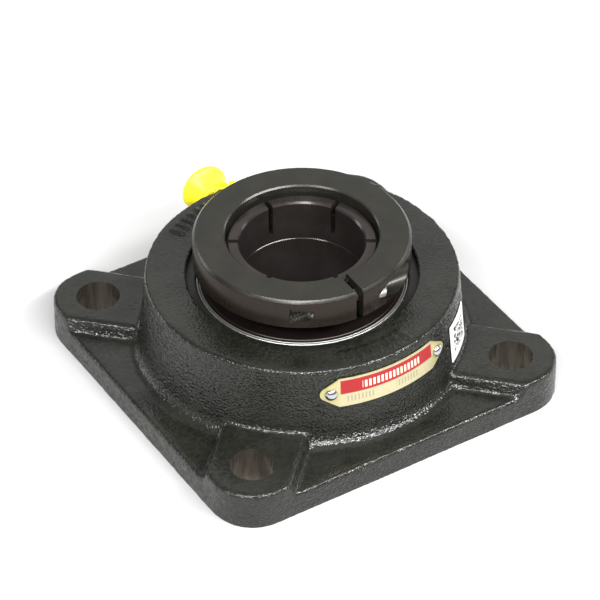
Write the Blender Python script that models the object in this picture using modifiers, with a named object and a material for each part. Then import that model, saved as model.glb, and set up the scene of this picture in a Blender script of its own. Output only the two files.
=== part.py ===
"""Four-bolt flange-mounted ball bearing with a concentric clamp collar.

Metres, +Z up.  The origin is on the shaft axis, in the plane of the mounting
face.  +Z runs along the shaft towards the clamp collar, the flange's sides run
along X and Y, the grease fitting points to +Y and the nameplate faces -Y.
"""
import math

import bmesh
import bpy
from mathutils import Matrix, Vector

# ---------------------------------------------------------------- driving sizes
GAP = 0.0003                # clearance between pieces that touch

# ball bearing insert, from the shaft outwards
SHAFT_R = 0.02143           # bore of the inner ring
RING_WALL = 0.00457         # inner ring where the collar sits
TRACK_WALL = 0.00447        # inner ring under the balls
BALL_R = 0.00635
BALL_COUNT = 9
GROOVE_DEPTH = 0.0027       # depth of each ball groove
OUTER_WALL = 0.0039         # outer ring over the balls
SEAL_SEAT_DEPTH = 0.0036    # counterbore in each end of the outer ring
SEAL_SEAT_STEP = 0.0011     # how much wider that counterbore is than the ring's land
CAGE_RIM = 0.00165          # cage beyond its pockets, along the axis
CAGE_PLAY = 0.0004          # between the cage and each seal's counterbore
CAGE_THICKNESS = 0.0020
PIN_R = 0.0013              # pin that keeps the outer ring from turning
PIN_LENGTH = 0.0036
PIN_HOLE_DEPTH = 0.0020
LUBE_HOLE_R = 0.0010

# cast housing
BOLT_SPACING = 0.1048       # hole to hole, along X and along Y
BOLT_HOLE_R = 0.00775
FLANGE_EDGE = 0.0158        # hole centre to the flange's edge
FLANGE_CORNER_R = 0.0155
PLATE_HEIGHT = 0.0093       # the flange between its pads
PAD_HEIGHT = 0.0142         # the raised pads that the bolt heads press on
PAD_HALF_WIDTH = 0.0143     # half the width of a pad's top
PAD_DRAFT = 0.0012          # how much wider each side of a pad is at its foot
INSERT_Z = 0.0245           # centre of the spherical seat, which the insert tilts about
SEAT_MOUTH = 0.0022         # how much smaller the housing's mouth is than the ring's sphere
HUB_OVER_SEAT = 0.0004      # hub's face above the edge of the spherical seat
HUB_WALL = 0.0119           # hub's wall at its top, outside the ring's sphere
HUB_DRAFT = 0.099           # radius gained per unit of height lost
HUB_FILLET = 0.0035         # where the hub's wall meets the flange
RIM_ROUND = 0.0010
BACK_RECESS_LIP = 0.0027    # how far the back's recess is wider than the seat's mouth
BACK_RECESS_DEPTH = 0.0030
CASTING_MARK_ANGLE = 33.5   # small raised boss on the hub's rim
CASTING_MARK_SIZE = (0.0060, 0.0130, 0.0020)

# inner ring's ends and the clamp collar
INNER_RING_BELOW = 0.0225   # from the seat's centre to the ring's plain end
INNER_RING_ABOVE = 0.02745  # from the seat's centre to the ring's split end
RING_CHAMFER = 0.0006
FINGER_SLOTS = 6
FINGER_SLOT_WIDTH = 0.0018
FINGER_SLOT_DEPTH = 0.01235
FINGER_SLOT_START = 28.0    # degrees
COLLAR_GRIP = 0.00785       # length of the split end inside the collar
COLLAR_HEIGHT = 0.0115
COLLAR_WALL = 0.0112
COLLAR_CHAMFER = 0.0013
COLLAR_FIT = 0.0005         # collar's bore over the inner ring
COLLAR_SLOT_ANGLE = -91.0
COLLAR_SLOT_WIDTH = 0.0027
SCREW_R = 0.0024
SCREW_HEAD_R = 0.0041
SCREW_HEAD_LENGTH = 0.0050
SCREW_LENGTH = 0.0254
SCREW_POCKET_R = 0.0049     # room round the head for its wrench
SCREW_BELOW_MIDDLE = 0.0004 # screw's axis below the middle of the collar
SCREW_WALL = 0.0005         # collar left between its bore and the screw head's pocket
SCREW_SEAT = 0.0070         # slot to the face the screw head pulls on
SCREW_SOCKET_R = 0.0022
SCREW_SOCKET_DEPTH = 0.0026
SCREW_ROUNDING = 0.0004

# seals, one set at each end of the insert
SHIELD_SHEET = 0.0006
FELT_THICKNESS = 0.0014
FLINGER_SHEET = 0.0007
SEAL_INSIDE_GAP = 0.0008    # shield and felt over the inner ring's shoulder

# grease fitting, cap and tether
FITTING_THREAD_R = 0.0030
FITTING_THREAD_LENGTH = 0.0105
FITTING_HEX_R = 0.0046
FITTING_HEX_LENGTH = 0.0024
FITTING_HEAD_R = 0.0032
FITTING_HEAD_LENGTH = 0.0052
FITTING_LIP = 0.0008        # end wall that the check ball closes
GREASE_WAY_R = 0.0008
CHECK_BALL_R = 0.0010
SPRING_WIRE_R = 0.00012
SPRING_TURNS = 5
CAP_R = 0.0088
CAP_HEAD = 0.0042           # cap beyond the fitting's end
CAP_CROWN = 0.0026          # from the top of its domed head to its widest ring
CAP_TAPER = 0.0013          # how much narrower the head is this far below that ring
CAP_TAPER_LENGTH = 0.0020
CAP_SKIRT_LENGTH = 0.0016   # straight skirt below the taper
CAP_WALL = 0.0017
TETHER_WIDTH = 0.0026
TETHER_THICKNESS = 0.0010
TETHER_RING_TALL = 0.0013
TETHER_CLEARANCE = 0.0012   # strap's bend beyond the cap's edge
TETHER_ROOT = 0.0006        # how deep the strap runs into its ring

# nameplate and label on the hub's wall
PLATE_ANGLE = -89.8
PLATE_LENGTH = 0.0508
PLATE_TALL = 0.0110
PLATE_BELOW_TOP = 0.0037    # hub's face to the plate's upper edge
PLATE_SHEET = 0.0005
PLATE_TIP = 0.0070          # length of each pointed end
PLATE_TIP_TALL = 0.0050
RIVET_INSET = 0.0038        # plate's end to the rivet
RIVET_SHANK_R = 0.0010
RIVET_SHANK_LENGTH = 0.0036
RIVET_HEAD_R = 0.0021
RIVET_HEAD_TALL = 0.0011
LABEL_ANGLE = -48.7
LABEL_WIDTH = 0.0160
LABEL_TALL = 0.0150
LABEL_BELOW_TOP = 0.0073
LABEL_SHEET = 0.0003

# facets
HUB_STEPS = 60
RING_STEPS = 40
SMALL_STEPS = 16

# ---------------------------------------------------------------- sizes that follow
RING_R = SHAFT_R + RING_WALL
BALL_PITCH_R = SHAFT_R + TRACK_WALL + BALL_R
GROOVE_R = BALL_R + GAP
OUTER_LAND_R = BALL_PITCH_R + BALL_R - GROOVE_DEPTH
INNER_LAND_R = BALL_PITCH_R - BALL_R + GROOVE_DEPTH
SEAL_SEAT_R = OUTER_LAND_R + SEAL_SEAT_STEP
OUTER_RING_R = BALL_PITCH_R + BALL_R + OUTER_WALL
CAGE_HALF_WIDTH = BALL_R + CAGE_RIM
OUTER_RING_WIDTH = 2 * (CAGE_HALF_WIDTH + CAGE_PLAY + SEAL_SEAT_DEPTH)
RING_LOW = INSERT_Z - OUTER_RING_WIDTH / 2
RING_HIGH = INSERT_Z + OUTER_RING_WIDTH / 2
SEAT_R = OUTER_RING_R + GAP
MOUTH_R = OUTER_RING_R - SEAT_MOUTH
SEAT_REACH = math.acos(MOUTH_R / SEAT_R)
HUB_HEIGHT = INSERT_Z + SEAT_R * math.sin(SEAT_REACH) + HUB_OVER_SEAT
HUB_TOP_R = OUTER_RING_R + HUB_WALL
FLANGE_HALF = BOLT_SPACING / 2 + FLANGE_EDGE
INNER_RING_LOW = INSERT_Z - INNER_RING_BELOW
INNER_RING_HIGH = INSERT_Z + INNER_RING_ABOVE
COLLAR_LOW = INNER_RING_HIGH - COLLAR_GRIP
COLLAR_HIGH = COLLAR_LOW + COLLAR_HEIGHT
COLLAR_BORE_R = RING_R + COLLAR_FIT
COLLAR_R = COLLAR_BORE_R + COLLAR_WALL
SCREW_OFFSET = COLLAR_BORE_R + SCREW_WALL + SCREW_POCKET_R
SCREW_Z = (COLLAR_LOW + COLLAR_HIGH) / 2 - SCREW_BELOW_MIDDLE
LUBE_HOLE_Z = RING_HIGH - SEAL_SEAT_DEPTH - LUBE_HOLE_R
FITTING_Z = LUBE_HOLE_Z
PLATE_LOW = HUB_HEIGHT - PLATE_BELOW_TOP - PLATE_TALL
LABEL_LOW = HUB_HEIGHT - LABEL_BELOW_TOP - LABEL_TALL


def wall_r(z):
    """Radius of the hub's drafted wall at a height."""
    return HUB_TOP_R + (HUB_HEIGHT - z) * HUB_DRAFT


def wall_angle(length, z):
    """Degrees that a length takes up round the hub's wall at a height."""
    return math.degrees(length / wall_r(z))


FITTING_Y = wall_r(FITTING_Z - FITTING_HEX_R) + GAP
CAP_Y = FITTING_Y + FITTING_HEX_LENGTH + GAP
PLATE_SPAN = wall_angle(PLATE_LENGTH, PLATE_LOW)
LABEL_SPAN = wall_angle(LABEL_WIDTH, LABEL_LOW)


# ---------------------------------------------------------------- helpers
def clear_scene():
    """Remove every object and the collections made by an earlier run."""
    for obj in list(bpy.data.objects):
        bpy.data.objects.remove(obj, do_unlink=True)
    for name in ("flange_mount_bearing", "cutters"):
        old = bpy.data.collections.get(name)
        if old:
            bpy.data.collections.remove(old)


def new_collection(name):
    made = bpy.data.collections.new(name)
    bpy.context.scene.collection.children.link(made)
    return made


def polar(radius, degrees, z=0.0):
    """A point given by its radius and its angle about Z."""
    a = math.radians(degrees)
    return Vector((radius * math.cos(a), radius * math.sin(a), z))


def material(name, colour, roughness, metallic):
    """A Principled material for one piece."""
    made = bpy.data.materials.new(name)
    made.use_nodes = True
    shader = made.node_tree.nodes["Principled BSDF"]
    shader.inputs["Base Color"].default_value = (*colour, 1.0)
    shader.inputs["Roughness"].default_value = roughness
    shader.inputs["Metallic"].default_value = metallic
    return made


def add_object(name, data, collection=None):
    obj = bpy.data.objects.new(name, data)
    (collection or PARTS).objects.link(obj)
    return obj


def finish(obj, colour, roughness=0.4, metallic=1.0):
    """Name the piece's material after it and assign it."""
    obj.data.materials.clear()
    obj.data.materials.append(material(obj.name, colour, roughness, metallic))
    return obj


def from_bmesh(name, bm, collection=None):
    bmesh.ops.recalc_face_normals(bm, faces=bm.faces)
    mesh = bpy.data.meshes.new(name)
    bm.to_mesh(mesh)
    bm.free()
    return add_object(name, mesh, collection)


def turned(name, profile, steps=RING_STEPS, collection=None):
    """Turn a profile of (radius, z) points about Z.

    The profile runs down its outer side.  It is closed into a loop, unless it
    starts and ends on the axis.
    """
    bm = bmesh.new()
    corners = [bm.verts.new((r, 0.0, z)) for r, z in profile]
    for a, b in zip(corners, corners[1:]):
        bm.edges.new((a, b))
    if profile[0][0] > 0.0:
        bm.edges.new((corners[-1], corners[0]))
    mesh = bpy.data.meshes.new(name)
    bm.to_mesh(mesh)
    bm.free()
    obj = add_object(name, mesh, collection)
    screw = obj.modifiers.new("turn", "SCREW")
    screw.axis = "Z"
    screw.angle = math.tau
    screw.steps = steps
    screw.render_steps = steps
    screw.use_merge_vertices = True
    screw.merge_threshold = 0.00001
    return obj


def wrapped(name, low, tall, middle, span, sheet, steps):
    """A thin sheet that lies a gap outside the hub's drafted wall."""
    bm = bmesh.new()
    top = bm.verts.new(polar(wall_r(low + tall) + GAP, middle - span / 2, low + tall))
    bottom = bm.verts.new(polar(wall_r(low) + GAP, middle - span / 2, low))
    bm.edges.new((top, bottom))
    mesh = bpy.data.meshes.new(name)
    bm.to_mesh(mesh)
    bm.free()
    obj = add_object(name, mesh)
    screw = obj.modifiers.new("wrap", "SCREW")
    screw.axis = "Z"
    screw.angle = math.radians(span)
    screw.steps = steps
    screw.render_steps = steps
    solid = obj.modifiers.new("sheet", "SOLIDIFY")
    solid.thickness = sheet
    solid.offset = 1.0
    return obj


def box(name, size, centre, collection=None, turn=0.0):
    """A box of the given size, turned about Z by some degrees."""
    bm = bmesh.new()
    bmesh.ops.create_cube(bm, size=1.0, matrix=Matrix.Diagonal((*size, 1.0)))
    obj = from_bmesh(name, bm, collection)
    obj.location = centre
    obj.rotation_euler = (0.0, 0.0, math.radians(turn))
    return obj


def rod(name, radius, length, start, direction, steps=SMALL_STEPS, collection=None):
    """A cylinder that runs from its start point along a direction."""
    bm = bmesh.new()
    bmesh.ops.create_cone(bm, cap_ends=True, segments=steps, radius1=radius, radius2=radius,
                          depth=length, matrix=Matrix.Translation((0.0, 0.0, length / 2)))
    obj = from_bmesh(name, bm, collection)
    obj.location = start
    obj.rotation_euler = Vector(direction).to_track_quat("Z", "Y").to_euler()
    return obj


def ball(name, radius, centre, collection=None, segments=14, rings=9):
    bm = bmesh.new()
    bmesh.ops.create_uvsphere(bm, u_segments=segments, v_segments=rings, radius=radius)
    obj = from_bmesh(name, bm, collection)
    obj.location = centre
    return obj


def boolean(obj, other, operation="DIFFERENCE"):
    """Cut, join or trim a piece with a hidden tool shape."""
    other.hide_render = True
    other.display_type = "WIRE"
    step = obj.modifiers.new(other.name, "BOOLEAN")
    step.operation = operation
    step.solver = "EXACT"
    step.object = other
    return obj


def arc(centre, radius, start, end, count):
    """Points (r, z) along an arc, angles in degrees from the +r direction."""
    points = []
    for i in range(count + 1):
        a = math.radians(start + (end - start) * i / count)
        points.append((centre[0] + radius * math.cos(a), centre[1] + radius * math.sin(a)))
    return points


def groove(side, count=6):
    """Ball groove: side +1 is cut in the outer ring, -1 in the inner ring."""
    land = OUTER_LAND_R if side > 0 else INNER_LAND_R
    reach = math.degrees(math.acos((land - BALL_PITCH_R) * side / GROOVE_R))
    centre = (BALL_PITCH_R, INSERT_Z)
    if side > 0:
        return arc(centre, GROOVE_R, -reach, reach, count)
    return arc(centre, GROOVE_R, 180 - reach, 180 + reach, count)


# ---------------------------------------------------------------- housing
def rounded_square(name, half, corner, height, collection):
    """A square with round corners, standing from z = 0 to the given height."""
    curve = bpy.data.curves.new(name, "CURVE")
    curve.dimensions = "2D"
    curve.fill_mode = "BOTH"
    curve.extrude = height / 2
    points = []
    for quarter in range(4):
        corner_at = polar((half - corner) * math.sqrt(2), 45 + 90 * quarter)
        for x, y in arc(corner_at[:2], corner, 90 * quarter, 90 * quarter + 90, 6):
            points.append((x, y, 0.0, 1.0))
    spline = curve.splines.new("POLY")
    spline.points.add(len(points) - 1)
    for point, co in zip(spline.points, points):
        point.co = co
    spline.use_cyclic_u = True
    outline = add_object(name + "_outline", curve, collection)
    outline.location = (0.0, 0.0, height / 2)
    bpy.context.view_layer.update()
    evaluated = outline.evaluated_get(bpy.context.evaluated_depsgraph_get())
    bm = bmesh.new()
    bm.from_mesh(bpy.data.meshes.new_from_object(evaluated))
    bmesh.ops.remove_doubles(bm, verts=bm.verts, dist=0.00001)
    obj = from_bmesh(name, bm, collection)
    obj.matrix_world = outline.matrix_world
    bpy.data.objects.remove(outline, do_unlink=True)
    return obj


def pad_arm(name, angle):
    """A drafted bar across the flange, on one of its diagonals."""
    reach = 4 * FLANGE_HALF
    tall = 2 * (PAD_HEIGHT - PLATE_HEIGHT)
    width = 2 * (PAD_HALF_WIDTH + PAD_DRAFT)
    bm = bmesh.new()
    bmesh.ops.create_cube(bm, size=1.0, matrix=Matrix.Diagonal((reach, width, tall, 1.0)))
    for corner in bm.verts:
        spread = PAD_DRAFT if corner.co.z < 0 else -PAD_DRAFT
        corner.co.y = math.copysign(PAD_HALF_WIDTH + spread, corner.co.y)
    obj = from_bmesh(name, bm, CUTTERS)
    obj.location = (0.0, 0.0, PAD_HEIGHT)
    obj.rotation_euler = (0.0, 0.0, math.radians(angle))
    return obj


def make_housing():
    """Cast flange, pads and hub, with the spherical seat and all the holes."""
    housing = rounded_square("housing", FLANGE_HALF, FLANGE_CORNER_R, PAD_HEIGHT, PARTS)
    between = 3 * FLANGE_HALF
    pockets_at = (0.0, 0.0, PLATE_HEIGHT + PAD_HEIGHT / 2)
    pockets = box("pockets", (between, between, PAD_HEIGHT), pockets_at, CUTTERS)
    for angle in (45, 135):
        boolean(pockets, pad_arm(f"arm_{angle}", angle))
    boolean(housing, pockets)
    foot = PLATE_HEIGHT / 2
    hub = [(0.0, HUB_HEIGHT), (HUB_TOP_R - RIM_ROUND, HUB_HEIGHT)]
    hub += [(HUB_TOP_R - RIM_ROUND * 0.3, HUB_HEIGHT - RIM_ROUND * 0.3)]
    hub += [(wall_r(HUB_HEIGHT - RIM_ROUND), HUB_HEIGHT - RIM_ROUND)]
    fillet_top = PLATE_HEIGHT + HUB_FILLET
    centre = (wall_r(fillet_top) + HUB_FILLET, fillet_top)
    hub += arc(centre, HUB_FILLET, 180, 260, 4)
    hub += [(centre[0], foot), (0.0, foot)]
    boolean(housing, turned("hub", hub, HUB_STEPS, CUTTERS), "UNION")
    mark = box("casting_mark", CASTING_MARK_SIZE, (0, 0, 0), CUTTERS, CASTING_MARK_ANGLE)
    mark_r = HUB_TOP_R - RIM_ROUND - CASTING_MARK_SIZE[0] / 2
    mark.location = polar(mark_r, CASTING_MARK_ANGLE, HUB_HEIGHT + CASTING_MARK_SIZE[2] / 2 - GAP)
    boolean(housing, mark, "UNION")

    reach = math.degrees(SEAT_REACH)
    recess_r = MOUTH_R + BACK_RECESS_LIP
    above = HUB_HEIGHT + CASTING_MARK_SIZE[2] + GAP
    seat = [(0.0, above), (MOUTH_R, above)]
    seat += arc((0.0, INSERT_Z), SEAT_R, reach, -reach, 10)
    seat += [(MOUTH_R, BACK_RECESS_DEPTH), (recess_r, BACK_RECESS_DEPTH)]
    seat += [(recess_r, -GAP), (0.0, -GAP)]
    boolean(housing, turned("seat", seat, HUB_STEPS, CUTTERS))
    tall = INSERT_Z + GAP
    slot = (2 * SEAT_R + GAP, OUTER_RING_WIDTH + 4 * GAP, tall)
    boolean(housing, box("loading_slots", slot, (0.0, 0.0, tall / 2 - GAP), CUTTERS))
    for quarter in range(4):
        at = polar(BOLT_SPACING / math.sqrt(2), 45 + 90 * quarter, -GAP)
        hole = rod(f"bolt_hole_{quarter}", BOLT_HOLE_R, PAD_HEIGHT + 2 * GAP, at, (0, 0, 1), 32, CUTTERS)
        boolean(housing, hole)
    thread_at = (0.0, MOUTH_R, FITTING_Z)
    boolean(housing, rod("fitting_hole", FITTING_THREAD_R + GAP, 0.03, thread_at, (0, 1, 0), 16, CUTTERS))
    pin_slot = (2 * (PIN_R + GAP), PIN_LENGTH, 6 * PIN_R)
    pin_at = (0.0, OUTER_RING_R + GAP, INSERT_Z)
    boolean(housing, box("pin_slot", pin_slot, pin_at, CUTTERS))
    for side in (-1, 1):
        angle = rivet_angle(side)
        start = polar(rivet_r() - RIVET_SHANK_LENGTH - 2 * GAP, angle, rivet_z())
        hole = rod(f"rivet_hole_{side}", RIVET_SHANK_R + GAP, 0.01, start, polar(1, angle), 12, CUTTERS)
        boolean(housing, hole)
    return finish(housing, (0.018, 0.019, 0.018), 0.38, 0.0)


# ---------------------------------------------------------------- insert
def make_outer_ring():
    """Outer ring with a spherical outside, a ball groove and two seal seats."""
    reach = math.degrees(math.asin(OUTER_RING_WIDTH / 2 / OUTER_RING_R))
    profile = arc((0.0, INSERT_Z), OUTER_RING_R, reach, -reach, 8)
    profile += [(SEAL_SEAT_R, RING_LOW), (SEAL_SEAT_R, RING_LOW + SEAL_SEAT_DEPTH)]
    profile += [(OUTER_LAND_R, RING_LOW + SEAL_SEAT_DEPTH)]
    profile += groove(1)
    profile += [(OUTER_LAND_R, RING_HIGH - SEAL_SEAT_DEPTH)]
    profile += [(SEAL_SEAT_R, RING_HIGH - SEAL_SEAT_DEPTH), (SEAL_SEAT_R, RING_HIGH)]
    ring = turned("outer_ring", profile)
    pin_at = (0.0, OUTER_RING_R - PIN_HOLE_DEPTH, INSERT_Z)
    boolean(ring, rod("pin_hole", PIN_R + GAP, 0.01, pin_at, (0, 1, 0), 12, CUTTERS))
    lube_at = (0.0, INNER_LAND_R, LUBE_HOLE_Z)
    boolean(ring, rod("lube_hole", LUBE_HOLE_R, 0.03, lube_at, (0, 1, 0), 12, CUTTERS))
    finish(ring, (0.035, 0.033, 0.030), 0.35)
    pin_start = (0.0, OUTER_RING_R - PIN_HOLE_DEPTH + GAP, INSERT_Z)
    pin = rod("locking_pin", PIN_R, PIN_LENGTH - GAP, pin_start, (0, 1, 0), 12)
    finish(pin, (0.45, 0.44, 0.42), 0.35)


def make_inner_ring():
    """Inner ring with a ball groove and split fingers under the collar."""
    shoulder_high = INSERT_Z + OUTER_RING_WIDTH / 2 - SEAL_SEAT_DEPTH
    shoulder_low = INSERT_Z - OUTER_RING_WIDTH / 2 + SEAL_SEAT_DEPTH
    chamfer = RING_CHAMFER
    profile = [(RING_R - chamfer, INNER_RING_HIGH), (RING_R, INNER_RING_HIGH - chamfer)]
    profile += [(RING_R, shoulder_high), (INNER_LAND_R, shoulder_high)]
    profile += groove(-1)
    profile += [(INNER_LAND_R, shoulder_low), (RING_R, shoulder_low)]
    profile += [(RING_R, INNER_RING_LOW + chamfer), (RING_R - chamfer, INNER_RING_LOW)]
    profile += [(SHAFT_R + chamfer, INNER_RING_LOW), (SHAFT_R, INNER_RING_LOW + chamfer)]
    profile += [(SHAFT_R, INNER_RING_HIGH - chamfer), (SHAFT_R + chamfer, INNER_RING_HIGH)]
    ring = turned("inner_ring", profile)
    tall = FINGER_SLOT_DEPTH + GAP
    for i in range(FINGER_SLOTS):
        angle = FINGER_SLOT_START + 360 / FINGER_SLOTS * i
        middle = (SHAFT_R + RING_R) / 2
        at = polar(middle, angle, INNER_RING_HIGH - FINGER_SLOT_DEPTH + tall / 2)
        size = (2 * (RING_R - SHAFT_R), FINGER_SLOT_WIDTH, tall)
        boolean(ring, box(f"finger_slot_{i}", size, at, CUTTERS, angle))
    return finish(ring, (0.030, 0.027, 0.024), 0.32)


def make_cage():
    """One-piece cage with a round pocket for each ball."""
    half = CAGE_THICKNESS / 2
    high = INSERT_Z + CAGE_HALF_WIDTH
    low = INSERT_Z - CAGE_HALF_WIDTH
    outside = BALL_PITCH_R + half
    inside = BALL_PITCH_R - half
    cage = turned("cage", [(outside, high), (outside, low), (inside, low), (inside, high)])
    for i in range(BALL_COUNT):
        angle = 90 + 360 / BALL_COUNT * (i + 0.5)
        at = polar(inside - GROOVE_R, angle, INSERT_Z)
        pocket = rod(f"pocket_{i}", GROOVE_R, 0.02, at, polar(1, angle), 16, CUTTERS)
        boolean(cage, pocket)
    return finish(cage, (0.55, 0.46, 0.30), 0.5, 0.0)


def make_balls():
    """One ball in each pocket of the cage."""
    for i in range(BALL_COUNT):
        angle = 90 + 360 / BALL_COUNT * (i + 0.5)
        piece = ball(f"ball_{i + 1:02d}", BALL_R, polar(BALL_PITCH_R, angle, INSERT_Z))
        finish(piece, (0.62, 0.62, 0.63), 0.12)


def make_seals(end, side):
    """Shield, felt and flinger at one end: side +1 is the collar end."""
    def place(profile):
        points = [(r, INSERT_Z + side * (z - INSERT_Z)) for r, z in profile]
        return points if side > 0 else points[::-1]

    step = RING_HIGH - SEAL_SEAT_DEPTH
    inside = RING_R + SEAL_INSIDE_GAP
    edge = SEAL_SEAT_R - GAP
    low = step + GAP
    shield = [(edge, RING_HIGH - GAP), (edge, low), (inside, low), (inside, low + SHIELD_SHEET)]
    shield += [(edge - SHIELD_SHEET, low + SHIELD_SHEET), (edge - SHIELD_SHEET, RING_HIGH - GAP)]
    piece = turned(f"{end}_shield", place(shield))
    finish(piece, (0.70, 0.71, 0.72), 0.25)
    felt_low = low + SHIELD_SHEET + GAP
    felt_high = felt_low + FELT_THICKNESS
    felt_edge = edge - SHIELD_SHEET - GAP
    felt = [(felt_edge, felt_high), (felt_edge, felt_low), (inside, felt_low), (inside, felt_high)]
    piece = turned(f"{end}_felt_seal", place(felt))
    finish(piece, (0.16, 0.13, 0.09), 0.95, 0.0)
    disc_low = felt_high + GAP
    disc_high = disc_low + FLINGER_SHEET
    seat = RING_R + GAP
    disc = [(felt_edge, disc_high), (felt_edge, disc_low), (seat, disc_low), (seat, disc_high)]
    piece = turned(f"{end}_flinger", place(disc))
    finish(piece, (0.034, 0.026, 0.023), 0.3)


# ---------------------------------------------------------------- clamp collar
def make_collar():
    """Split collar with a counterbored clamp screw across its slot."""
    cut = COLLAR_CHAMFER
    profile = [(COLLAR_R - cut, COLLAR_HIGH), (COLLAR_R, COLLAR_HIGH - cut)]
    profile += [(COLLAR_R, COLLAR_LOW + cut / 2), (COLLAR_R - cut / 2, COLLAR_LOW)]
    profile += [(COLLAR_BORE_R + cut / 2, COLLAR_LOW), (COLLAR_BORE_R, COLLAR_LOW + cut / 2)]
    profile += [(COLLAR_BORE_R, COLLAR_HIGH - cut / 2), (COLLAR_BORE_R + cut / 2, COLLAR_HIGH)]
    collar = turned("lock_collar", profile, HUB_STEPS)
    middle = polar((COLLAR_BORE_R + COLLAR_R) / 2, COLLAR_SLOT_ANGLE, SCREW_Z)
    size = (2 * (COLLAR_R - COLLAR_BORE_R), COLLAR_SLOT_WIDTH, 2 * COLLAR_HEIGHT)
    boolean(collar, box("collar_slot", size, middle, CUTTERS, COLLAR_SLOT_ANGLE))
    axis = screw_axis()
    seat = polar(SCREW_OFFSET, COLLAR_SLOT_ANGLE, SCREW_Z) + axis * SCREW_SEAT
    boolean(collar, rod("head_pocket", SCREW_POCKET_R, COLLAR_R, seat, axis, 24, CUTTERS))
    through = seat - axis * 2 * COLLAR_R
    boolean(collar, rod("screw_hole", SCREW_R + GAP, 3 * COLLAR_R, through, axis, 16, CUTTERS))
    finish(collar, (0.028, 0.027, 0.024), 0.30)

    top = SCREW_HEAD_LENGTH
    rounding = SCREW_ROUNDING
    head = [(SCREW_HEAD_R - rounding, top), (SCREW_HEAD_R, top - rounding)]
    head += [(SCREW_HEAD_R, 0.0), (SCREW_R, 0.0)]
    head += [(SCREW_R, rounding - SCREW_LENGTH), (SCREW_R - rounding, -SCREW_LENGTH)]
    screw = turned("collar_cap_screw", [(0.0, top)] + head + [(0.0, -SCREW_LENGTH)], 24)
    socket_at = (0.0, 0.0, top - SCREW_SOCKET_DEPTH)
    socket = rod("hex_socket", SCREW_SOCKET_R, 2 * SCREW_SOCKET_DEPTH, socket_at, (0, 0, 1), 6, CUTTERS)
    socket.parent = screw
    boolean(screw, socket)
    screw.location = seat + axis * GAP
    screw.rotation_euler = axis.to_track_quat("Z", "Y").to_euler()
    finish(screw, (0.05, 0.05, 0.05), 0.35)


def screw_axis():
    """Direction of the clamp screw, from its tip to its head."""
    return polar(1.0, COLLAR_SLOT_ANGLE + 90)


# ---------------------------------------------------------------- grease fitting
def make_fitting():
    """Grease fitting with its check ball and spring, lying along +Y."""
    length = FITTING_HEX_LENGTH + FITTING_HEAD_LENGTH
    chamber = CHECK_BALL_R + GAP
    neck = FITTING_HEAD_R - 0.0009
    profile = [(0.0, length), (FITTING_HEAD_R - 0.0012, length), (FITTING_HEAD_R, length - 0.0014)]
    profile += [(FITTING_HEAD_R, length - 0.0022), (neck, length - 0.0030), (neck, GAP)]
    profile += [(FITTING_THREAD_R, GAP), (FITTING_THREAD_R, -FITTING_THREAD_LENGTH)]
    profile += [(0.0, -FITTING_THREAD_LENGTH)]
    fitting = turned("grease_fitting", profile, 24)
    hexagon = rod("fitting_hex", FITTING_HEX_R, FITTING_HEX_LENGTH, (0, 0, 0), (0, 0, 1), 6, CUTTERS)
    hexagon.parent = fitting
    boolean(fitting, hexagon, "UNION")
    way = [(0.0, length + GAP), (CHECK_BALL_R * 0.7, length + GAP), (CHECK_BALL_R * 0.7, length)]
    way += [(chamber, length - FITTING_LIP), (chamber, 0.0), (GREASE_WAY_R, 0.0)]
    way += [(GREASE_WAY_R, -FITTING_THREAD_LENGTH - GAP), (0.0, -FITTING_THREAD_LENGTH - GAP)]
    grease_way = turned("grease_way", way, 12, CUTTERS)
    grease_way.parent = fitting
    boolean(fitting, grease_way)
    fitting.location = (0.0, FITTING_Y, FITTING_Z)
    fitting.rotation_euler = (-math.pi / 2, 0.0, 0.0)
    finish(fitting, (0.72, 0.70, 0.62), 0.3)

    ball_y = FITTING_Y + length - FITTING_LIP - CHECK_BALL_R - GAP
    check = ball("check_ball", CHECK_BALL_R, (0.0, ball_y, FITTING_Z), segments=12, rings=8)
    finish(check, (0.65, 0.65, 0.66), 0.15)

    start = FITTING_Y + GAP + SPRING_WIRE_R
    end = ball_y - CHECK_BALL_R - GAP - SPRING_WIRE_R
    coil_r = CHECK_BALL_R - 2 * SPRING_WIRE_R
    per_turn = 8
    count = SPRING_TURNS * per_turn
    curve = bpy.data.curves.new("check_spring", "CURVE")
    curve.dimensions = "3D"
    curve.bevel_depth = SPRING_WIRE_R
    curve.bevel_resolution = 1
    curve.use_fill_caps = True
    spline = curve.splines.new("POLY")
    spline.points.add(count)
    for i, point in enumerate(spline.points):
        turn = math.tau * i / per_turn
        y = start + (end - start) * i / count
        point.co = (coil_r * math.cos(turn), y, FITTING_Z + coil_r * math.sin(turn), 1.0)
    finish(add_object("check_spring", curve), (0.6, 0.6, 0.6), 0.3)


def make_cap():
    """Push-on cap: a domed head that tapers to a skirt, which grips the fitting."""
    inside = FITTING_HEAD_R + GAP
    skirt = inside + CAP_WALL
    head_low = FITTING_HEAD_LENGTH + GAP
    top = head_low + CAP_HEAD
    widest = top - CAP_CROWN
    profile = [(0.0, top), (CAP_R * 0.62, top - CAP_CROWN * 0.15), (CAP_R * 0.90, top - CAP_CROWN * 0.55)]
    profile += [(CAP_R, widest), (CAP_R - CAP_TAPER, widest - CAP_TAPER_LENGTH)]
    profile += [(skirt, CAP_SKIRT_LENGTH), (skirt, 0.0)]
    profile += [(inside, 0.0), (inside, head_low), (0.0, head_low)]
    cap = turned("grease_cap", profile, 24)
    cap.location = (0.0, CAP_Y, FITTING_Z)
    cap.rotation_euler = (-math.pi / 2, 0.0, 0.0)
    return finish(cap, (0.92, 0.83, 0.03), 0.4, 0.0)


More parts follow.
